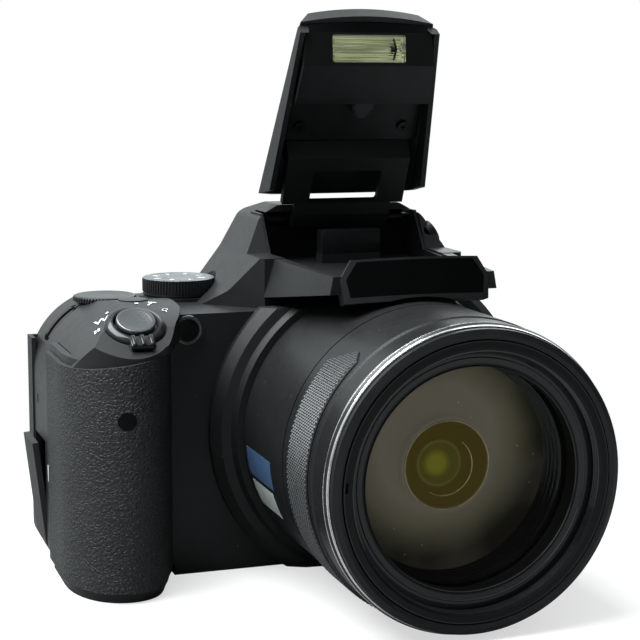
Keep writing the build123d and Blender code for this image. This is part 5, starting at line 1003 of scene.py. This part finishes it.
class CAMERA_OT_dials(Step, bpy.types.Operator):
    """Makes the ribbed mode dial and the ribbed command dial"""

    bl_idname = "bridge_camera.dials"
    bl_label = "Dials"

    def execute(self, context):
        tone = context.scene.bridge_casing.tone
        axle = at(*MODE_DIAL, 0)
        profile = (
            (0, MODE_TOP), (9.1, MODE_TOP), (9.3, 81.25), (10.3, 81.25), (10.75, 81.0),
            (10.84, 80.7), (10.84, 77.2), (10.6, 77.0), (10.6, 76.3), (0, 76.3),
        )
        bm = lathe(profile, axle, UPWARD, 288, False)
        ribbed(bm, axle, UPWARD, 72, 77.1, 80.8, 0.028)
        cap = self.capped("mode_wheel_plastic", tone, 81.05, 0.1)
        fresh("mode_wheel", "mode_dial", cap, bm, 30.0, ("mode_dial",))
        axle = at(*COMMAND_DIAL, 0)
        profile = (
            (0, 76.82), (7.4, 76.82), (7.7, 76.9), (8.5, 76.84), (9.1, 76.6),
            (9.3, 76.3), (9.3, 75.4), (9.1, 75.2), (0, 75.2),
        )
        bm = lathe(profile, axle, UPWARD, 240, False)
        ribbed(bm, axle, UPWARD, 60, 75.3, 76.4, 0.03)
        cap = self.capped("thumb_wheel_plastic", tone, 76.75, 0.03)
        fresh("thumb_wheel", "command_dial", cap, bm, 30.0, ("command_dial",))
        return {"FINISHED"}

    def capped(self, name, side, height, top):
        """Black plastic below a height and a satin grey disc above it."""
        blend = 0.05
        finish = Finish(name, Specular_IOR_Level=0.35)
        place = finish.where()
        cloud = finish.noise(place, 260.0, 4.0, 0.6)
        grain = finish.noise(place, 5000.0, 2.0)
        disc = finish.mix(cloud.fit(0.35, 0.7), grey(top * 0.8), grey(top * 1.3))
        above = finish.height().fit((height - blend) * MM, height * MM)
        finish.paint(
            Base_Color=finish.mix(above, grey(side), disc),
            Roughness=0.38 + (cloud - 0.5) * 0.2,
        )
        return finish.bump(grain, 0.00001).material


class CAMERA_OT_shutter(Step, bpy.types.Operator):
    """Makes the dished shutter button and the zoom lever round it"""

    bl_idname = "bridge_camera.shutter"
    bl_label = "Shutter and zoom lever"

    def execute(self, context):
        tilt = math.radians(29.0)
        seat = at(-71.5, -38.0, 73.9)
        lift = Vector((0, -math.sin(tilt), math.cos(tilt)))
        turn = Matrix.Rotation(tilt, 3, "X")
        profile = (
            (0, 2.1), (2.8, 2.14), (4.3, 2.3), (4.9, 2.4), (5.2, 2.3),
            (5.4, 1.95), (5.4, 1.1), (2.2, 1.06), (2.2, -3.0), (0, -3.0),
        )
        button = lathe(profile, seat, lift, 128, False)
        spun = turned("turned_disc", 0.12, 0.24, 0.85, *seat, -tilt)
        fresh("shutter_disc", "shutter", spun, button, 40.0, ("shutter_button",))
        collar = (
            (6.05, -0.8), (6.05, 1.15), (6.2, 1.34), (6.75, 1.34),
            (7.6, 0.95), (8.15, 0.3), (8.3, -0.2), (8.3, -0.8),
        )
        parts = [lathe(collar, seat, lift, 128)]
        tab = ((6.8, 4.6, 1.9), (0, -9.1, 1.4), 0.6)
        ribs = [((1.2, 4.3, 1.1), (across, -9.2, 2.4), 0.4) for across in (-2.4, 0.0, 2.4)]
        for size, place, soft in (tab, *ribs):
            parts.append(block(size, seat / MM + turn @ Vector(place), turn, soft, 3))
        gloss = polished("lever_gloss", 0.008, 0.3, 0.35)
        fresh("zoom_collar", "zoom_lever", gloss, joined(*parts), 35.0, ("zoom_lever",))
        return {"FINISHED"}


class CAMERA_OT_marks(Step, bpy.types.Operator):
    """Makes the numbers, the zoom marks, the plain patches, the painted shade sheets of the slots and
    the well's box
    """

    bl_idname = "bridge_camera.marks"
    bl_label = "Marks"

    def execute(self, context):
        pale = pale_print()
        numbers = []
        count = context.scene.bridge_print.count
        circle, first = 6.9, 0.25
        for index in range(count):
            angle = math.tau * index / count + first
            arm = Vector((math.cos(angle), math.sin(angle), 0))
            place = Vector((*MODE_DIAL, MODE_TOP)) + arm * circle
            numbers.append(laid(letter(str(index + 1), 3.0, 0.03), place, UPWARD, arm))
        fresh("dial_numbers", "mode_dial", pale, joined(*numbers))
        fresh("zoom_marks", "body", pale, joined(*self.stamps()))
        white = printed("white_patch", 0.42, 0.44, 0.42)
        blue = printed("blue_patch", 0.042, 0.08, 0.155)
        fresh("white_band", "body", white, wrapped(39.5, 58.0, 196.5, 11.0))
        fresh("blue_band", "body", blue, wrapped(38.5, 60.0, 183.0, 11.5))
        # Thin near-black sheets on the ring and over the covers are painted shade that stands for the
        # insides of slots.
        painted_slot_shade = self.slot_shade_finish()
        slots = []
        for angle, wide, deep in ((177.3, 35.3, 105.6), (62.0, 32.5, 101.7)):
            spoke = Matrix.Rotation(math.radians(angle), 3, FORWARD) @ SIDEWAYS
            turn = Matrix((spoke, FORWARD.cross(spoke), FORWARD)).transposed()
            centre = LENS_AXIS / MM + spoke * wide + FORWARD * deep
            slots.append(block((0.7, 2.6, 0.12), centre, turn, 0.04))
        fresh("ring_slots", "front_stage", painted_slot_shade, joined(*slots))
        mouth = [self.strip(near, far) for near, far in ((-3.4, -1.65), (1.65, 3.2))]
        dent = block((0.12, 1.1, 2.6), (-91.0, 5.1, 47.1), None, 0.04)
        fresh("strap_slot", "body", painted_slot_shade, joined(*mouth, dent))
        box = block((18.4, 5.4, 7.0), (0, -10.3, 92.3), None, 0.35)
        seat = moulded("box_plastic", 0.006, 0.3, FINE_GRAIN, 0.000005)
        fresh("well_box", "body", seat, box)
        patch = block((0.16, 1.3, 4.8), (-90.98, -10.0, 28.0), None, 0.05)
        fresh("side_patch", "body", white, patch)
        return {"FINISHED"}

    def slot_shade_finish(self):
        """Near-black painted shade, with no shine, for thin sheets that stand for the dark inside of
        slots.
        """
        finish = Finish("painted_shade_black", Specular_IOR_Level=0.0, Roughness=1.0)
        cloud = finish.noise(finish.where(), 900.0, 3.0)
        return finish.paint(Base_Color=finish.mix(cloud, grey(0.001), grey(0.004))).material

    def stamps(self):
        """W and T with a dot each, a grid of four and a magnifier beside them."""
        half = 0.05
        thick = half * 2
        taller = (1, 1.35, 1)
        spots = [(x, y, 0) for x in (-0.55, 0.55) for y in (-0.55, 0.55)]
        grid = joined(*(block((0.75, 0.75, thick), spot) for spot in spots))
        rim = ((0.6, -half), (0.8, -half), (0.8, half), (0.6, half))
        handle = block((0.25, 0.9, thick), (0.75, -0.85, 0), Matrix.Rotation(0.7, 3, "Z"))
        lens = joined(lathe(rim, Vector((0, 0, 0)), UPWARD, 24), handle)
        dot, second_dot = (block((0.9, 0.9, thick), (0, 0, 0)) for spot in range(2))
        marks = []
        for mark, place, normal, up in (
            (letter("W", 4.3, half), (-78.63, -28.4, 74.22), (-0.46, 0, 0.89), (0.25, 1, 0)),
            (dot, (-75.9, -23.2, 75.5), (-0.47, 0, 0.88), (0, 1, 0)),
            (grid, (-81.3, -35.6, 72.6), (-0.59, 0, 0.81), (0.25, 1, 0)),
            (letter("T", 4.0, half), (-63.62, -22.4, 77.46), (0, -0.09, 1), (0.6, 1, 0)),
            (second_dot, (-67.2, -21.2, 77.5), (0, -0.04, 1), (0, 1, 0)),
            (lens, (-60.9, -28.6, 76.6), (0, -0.17, 0.98), (0.6, 1, 0)),
        ):
            away = Vector(normal).normalized()
            bmesh.ops.scale(mark, vec=taller, verts=mark.verts)
            laid(mark, place, away, up)
            marks.append(pressed(mark, place, -away, ("top_cover",), 0.16))
        return marks

    def strip(self, near, far):
        """A thin dark strip of painted shade along one side of the strap slot, laid over the shoulder of
        the covers.
        """
        core = Vector((-76.0, 5.0, 58.0))
        out, steps = 16, 12
        first, last = 153.0, 101.0
        bm = bmesh.new()
        rows = []
        for step in range(steps + 1):
            angle = math.radians(first + (last - first) * step / steps)
            way = Vector((-math.cos(angle), 0, -math.sin(angle)))
            place = core - way * out
            waist = min(1.0, 0.6 + 0.4 * min(step, steps - step))
            dots = bmesh.new()
            for side in (near, far):
                dots.verts.new((place + ALONG_Y * side * waist) * MM)
            pressed(dots, place, way, ("top_cover", "rear_cover"), 0.05)
            rows.append([bm.verts.new(dot.co) for dot in dots.verts])
            dots.free()
        for low, high in zip(rows, rows[1:]):
            bm.faces.new((low[0], low[1], high[1], high[0]))
        bmesh.ops.recalc_face_normals(bm, faces=bm.faces)
        bmesh.ops.solidify(bm, geom=bm.faces[:], thickness=0.09 * MM)
        return bm


class CAMERA_OT_rear(Step, bpy.types.Operator):
    """Makes the signs on the keys at the back and the picture area of the monitor"""

    bl_idname = "bridge_camera.rear"
    bl_label = "Back"

    def execute(self, context):
        pale = pale_print()
        red = printed("red_print", 0.42, 0.02, 0.015)
        half, proud = 0.03, 0.02
        thick = half * 2
        bars = joined(*(block((2.3, 0.3, thick), (0, row, 0)) for row in (-0.8, 0.0, 0.8)))
        bin_sign = joined(
            block((1.4, 1.5, thick), (0, -0.25, 0)), block((2.0, 0.3, thick), (0, 0.85, 0))
        )
        rim = ((0, -half), (1.1, -half), (1.1, half), (0, half))
        spot = lathe(rim, Vector((0, 0, 0)), UPWARD, 32, False)
        for name, sign, ink in (
            ("playback", self.arrow(1.3, thick), pale),
            ("menu", bars, pale),
            ("delete", bin_sign, pale),
            ("display", letter("i", 4.0, half), pale),
            ("ok", letter("OK", 3.6, half), pale),
            ("record", spot, red),
        ):
            low, high = self.box(name + "_button")
            place = ((low.x + high.x) / 2, high.y + proud, (low.z + high.z) / 2)
            laid(sign, place, ALONG_Y, UPWARD)
            fresh(name + "_sign", name + "_key", ink, sign)
        low, high = self.box("selector_ring")
        middle = (low + high) / 2
        middle.y = high.y + proud
        circle, sides = 9.2, 4
        ticks = []
        for side in range(sides):
            way = Matrix.Rotation(math.tau * side / sides, 3, "Y") @ UPWARD
            tick = self.arrow(0.75, thick)
            ticks.append(laid(tick, middle + way * circle, ALONG_Y, ALONG_Y.cross(way)))
        fresh("selector_signs", "selector", pale, joined(*ticks))
        low, high = self.box("monitor_screen")
        frame_wide, frame_high = 6.0, 5.0
        size = (high.x - low.x - frame_wide, 0.05, high.z - low.z - frame_high)
        area = block(size, ((low.x + high.x) / 2, high.y + proud, (low.z + high.z) / 2))
        lit = polished("picture_glass", 0.012, 0.1, 0.5)
        fresh("picture_area", "monitor", lit, area)
        return {"FINISHED"}

    def box(self, name):
        """The low and high corners of a node, in millimetres."""
        dots = [vert.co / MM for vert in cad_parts[name].data.vertices]
        return (
            Vector([min(dot[axis] for dot in dots) for axis in range(3)]),
            Vector([max(dot[axis] for dot in dots) for axis in range(3)]),
        )

    def arrow(self, radius, thick):
        """A flat triangle that points to the right."""
        bm = bmesh.new()
        tip = Vector((radius, 0, -thick / 2)) * MM
        dots = [Matrix.Rotation(turn * math.tau / 3, 3, "Z") @ tip for turn in range(3)]
        face = bm.faces.new([bm.verts.new(dot) for dot in dots])
        made = bmesh.ops.extrude_face_region(bm, geom=[face])["geom"]
        raised = [vert for vert in made if isinstance(vert, bmesh.types.BMVert)]
        bmesh.ops.translate(bm, vec=(0, 0, thick * MM), verts=raised)
        return bm


class CAMERA_OT_stage(Step, bpy.types.Operator):
    """Sets the camera, the lamps, the floor and the background"""

    bl_idname = "bridge_camera.stage"
    bl_label = "Stage"

    def execute(self, context):
        scene = context.scene
        stage = scene.bridge_stage
        scene.camera = self.viewer(stage.lens)
        scene.view_settings.view_transform = "Standard"
        for name, power, size, spot in (
            ("top_lamp", stage.key, 1.1, (-0.6, 0.0, 1.2)),
            ("fill_lamp", stage.fill, 0.8, (-0.9, -0.9, 0.6)),
            ("back_lamp", stage.key * 0.08, 0.9, (0.7, 0.9, 0.7)),
        ):
            lamp = bpy.data.lights.new(name, "AREA")
            lamp.energy = power
            lamp.size = size
            lamp.color = DAYLIGHT
            self.placed(lamp, spot, (LENS_AXIS - Vector(spot)).to_track_quat("-Z", "Y"))
        self.sky(scene, stage.sky)
        self.floor(tuple(stage.backdrop))
        return {"FINISHED"}

    def viewer(self, lens):
        """The camera, where the photograph was taken from."""
        stand = at(-167.2, -461.05, 142.29)
        yaw, pitch, roll = 0.33778, -0.15285, 0.00496
        eye = bpy.data.cameras.new("viewer")
        eye.lens = lens
        eye.sensor_width = 36.0
        eye.clip_start = 0.01
        level = math.cos(pitch)
        ahead = Vector((math.sin(yaw) * level, math.cos(yaw) * level, math.sin(pitch)))
        turn = ahead.to_track_quat("-Z", "Y").to_matrix() @ Matrix.Rotation(roll, 3, "Z")
        return self.placed(eye, stand, turn.to_quaternion())

    def placed(self, data, spot, turn):
        """An object for a lamp or the camera, at a place and a turn."""
        made = bpy.data.objects.new(data.name, data)
        made.location = spot
        made.rotation_mode = "QUATERNION"
        made.rotation_quaternion = turn
        bpy.context.scene.collection.objects.link(made)
        return made

    def sky(self, scene, strength):
        """White where the camera looks, and a tent that is darker in front as light."""
        world = bpy.data.worlds.new("sky")
        world.use_nodes = True
        scene.world = world
        sky = Nodes(world.node_tree, "ShaderNodeOutputWorld")
        way = sky.node("ShaderNodeTexCoord", out="Generated")
        slope = sky.node(
            "ShaderNodeVectorMath",
            {"operation": "DOT_PRODUCT"},
            {0: way, 1: (-0.26, 0.58, 0.77)},
            out="Value",
        )
        reach = {"Value": slope, "From Min": -0.2, "From Max": 0.8, "To Min": 0.05, "To Max": 1.0}
        tent = sky.node("ShaderNodeMapRange", {}, reach)
        soft = sky.node(
            "ShaderNodeBackground", {}, {"Color": (0.9, 0.98, 1.0), "Strength": tent * strength}
        )
        gloss = sky.node("ShaderNodeBackground", {}, {"Color": DAYLIGHT, "Strength": tent})
        white = sky.node("ShaderNodeBackground", {}, {"Color": (1.0, 1.0, 1.0)})
        camera, glossy, through = (
            sky.node("ShaderNodeLightPath", out=ray)
            for ray in ("Is Camera Ray", "Is Glossy Ray", "Is Transmission Ray")
        )
        seen = glossy.work("MAXIMUM", glossy, through)
        mirrored = sky.node("ShaderNodeMixShader", {}, {0: seen, 1: soft, 2: gloss})
        sky.show(sky.node("ShaderNodeMixShader", {}, {0: camera, 1: mirrored, 2: white}))

    def floor(self, colour):
        """A wide disc that turns to plain white away from the object."""
        bm = bmesh.new()
        bmesh.ops.create_circle(bm, cap_ends=True, segments=96, radius=6.0)
        mesh = bpy.data.meshes.new("floor")
        bm.to_mesh(mesh)
        bm.free()
        ground = bpy.data.objects.new("floor", mesh)
        bpy.context.scene.collection.objects.link(ground)
        cover = Finish("floor_paper", Roughness=0.9, Specular_IOR_Level=0.0)
        ray = cover.node("ShaderNodeLightPath", out="Is Camera Ray")
        glow = cover.node("ShaderNodeEmission", {}, {"Strength": 1.0})
        away = cover.radius((-0.02, -0.03, 0.0)).fit(0.07, 0.18, 0.62, 1.0)
        cover.paint(Base_Color=cover.mix(ray, (0.2, 0.2, 0.2), colour))
        cover.show(cover.node("ShaderNodeMixShader", {}, {0: away * ray, 1: cover.plain, 2: glow}))
        mesh.materials.append(cover.material)


STEPS = (
    CAMERA_OT_casing,
    CAMERA_OT_grip,
    CAMERA_OT_band,
    CAMERA_OT_trim,
    CAMERA_OT_glass,
    CAMERA_OT_lens_middle,
    CAMERA_OT_flash,
    CAMERA_OT_dials,
    CAMERA_OT_shutter,
    CAMERA_OT_marks,
    CAMERA_OT_rear,
    CAMERA_OT_stage,
)
SETTINGS = {
    "bridge_casing": CasingSettings,
    "bridge_grip": GripSettings,
    "bridge_trim": TrimSettings,
    "bridge_optics": OpticsSettings,
    "bridge_print": PrintSettings,
    "bridge_stage": StageSettings,
}


class CAMERA_PT_dress(bpy.types.Panel):
    """Lists the steps that dress the camera"""

    bl_idname = "CAMERA_PT_dress"
    bl_label = "Bridge Camera"
    bl_space_type = "VIEW_3D"
    bl_region_type = "UI"
    bl_category = "Bridge Camera"

    def draw(self, context):
        for settings in SETTINGS:
            group = getattr(context.scene, settings)
            for name in group.__annotations__:
                self.layout.prop(group, name)
        for step in STEPS:
            self.layout.operator(step.bl_idname)


def register():
    """Makes the settings, the operators and the panel known to Blender."""
    for group in SETTINGS.values():
        bpy.utils.register_class(group)
    for name, group in SETTINGS.items():
        setattr(bpy.types.Scene, name, bpy.props.PointerProperty(type=group))
    for made in (*STEPS, CAMERA_PT_dress):
        bpy.utils.register_class(made)


def unregister():
    """Takes back what register made."""
    for made in reversed((*STEPS, CAMERA_PT_dress)):
        bpy.utils.unregister_class(made)
    for name in SETTINGS:
        delattr(bpy.types.Scene, name)
    for group in reversed(SETTINGS.values()):
        bpy.utils.unregister_class(group)


def main():
    """Runs the operators in order."""
    register()
    for step in STEPS:
        family, name = step.bl_idname.split(".")
        getattr(getattr(bpy.ops, family), name)()


if __name__ == "__main__":
    main()
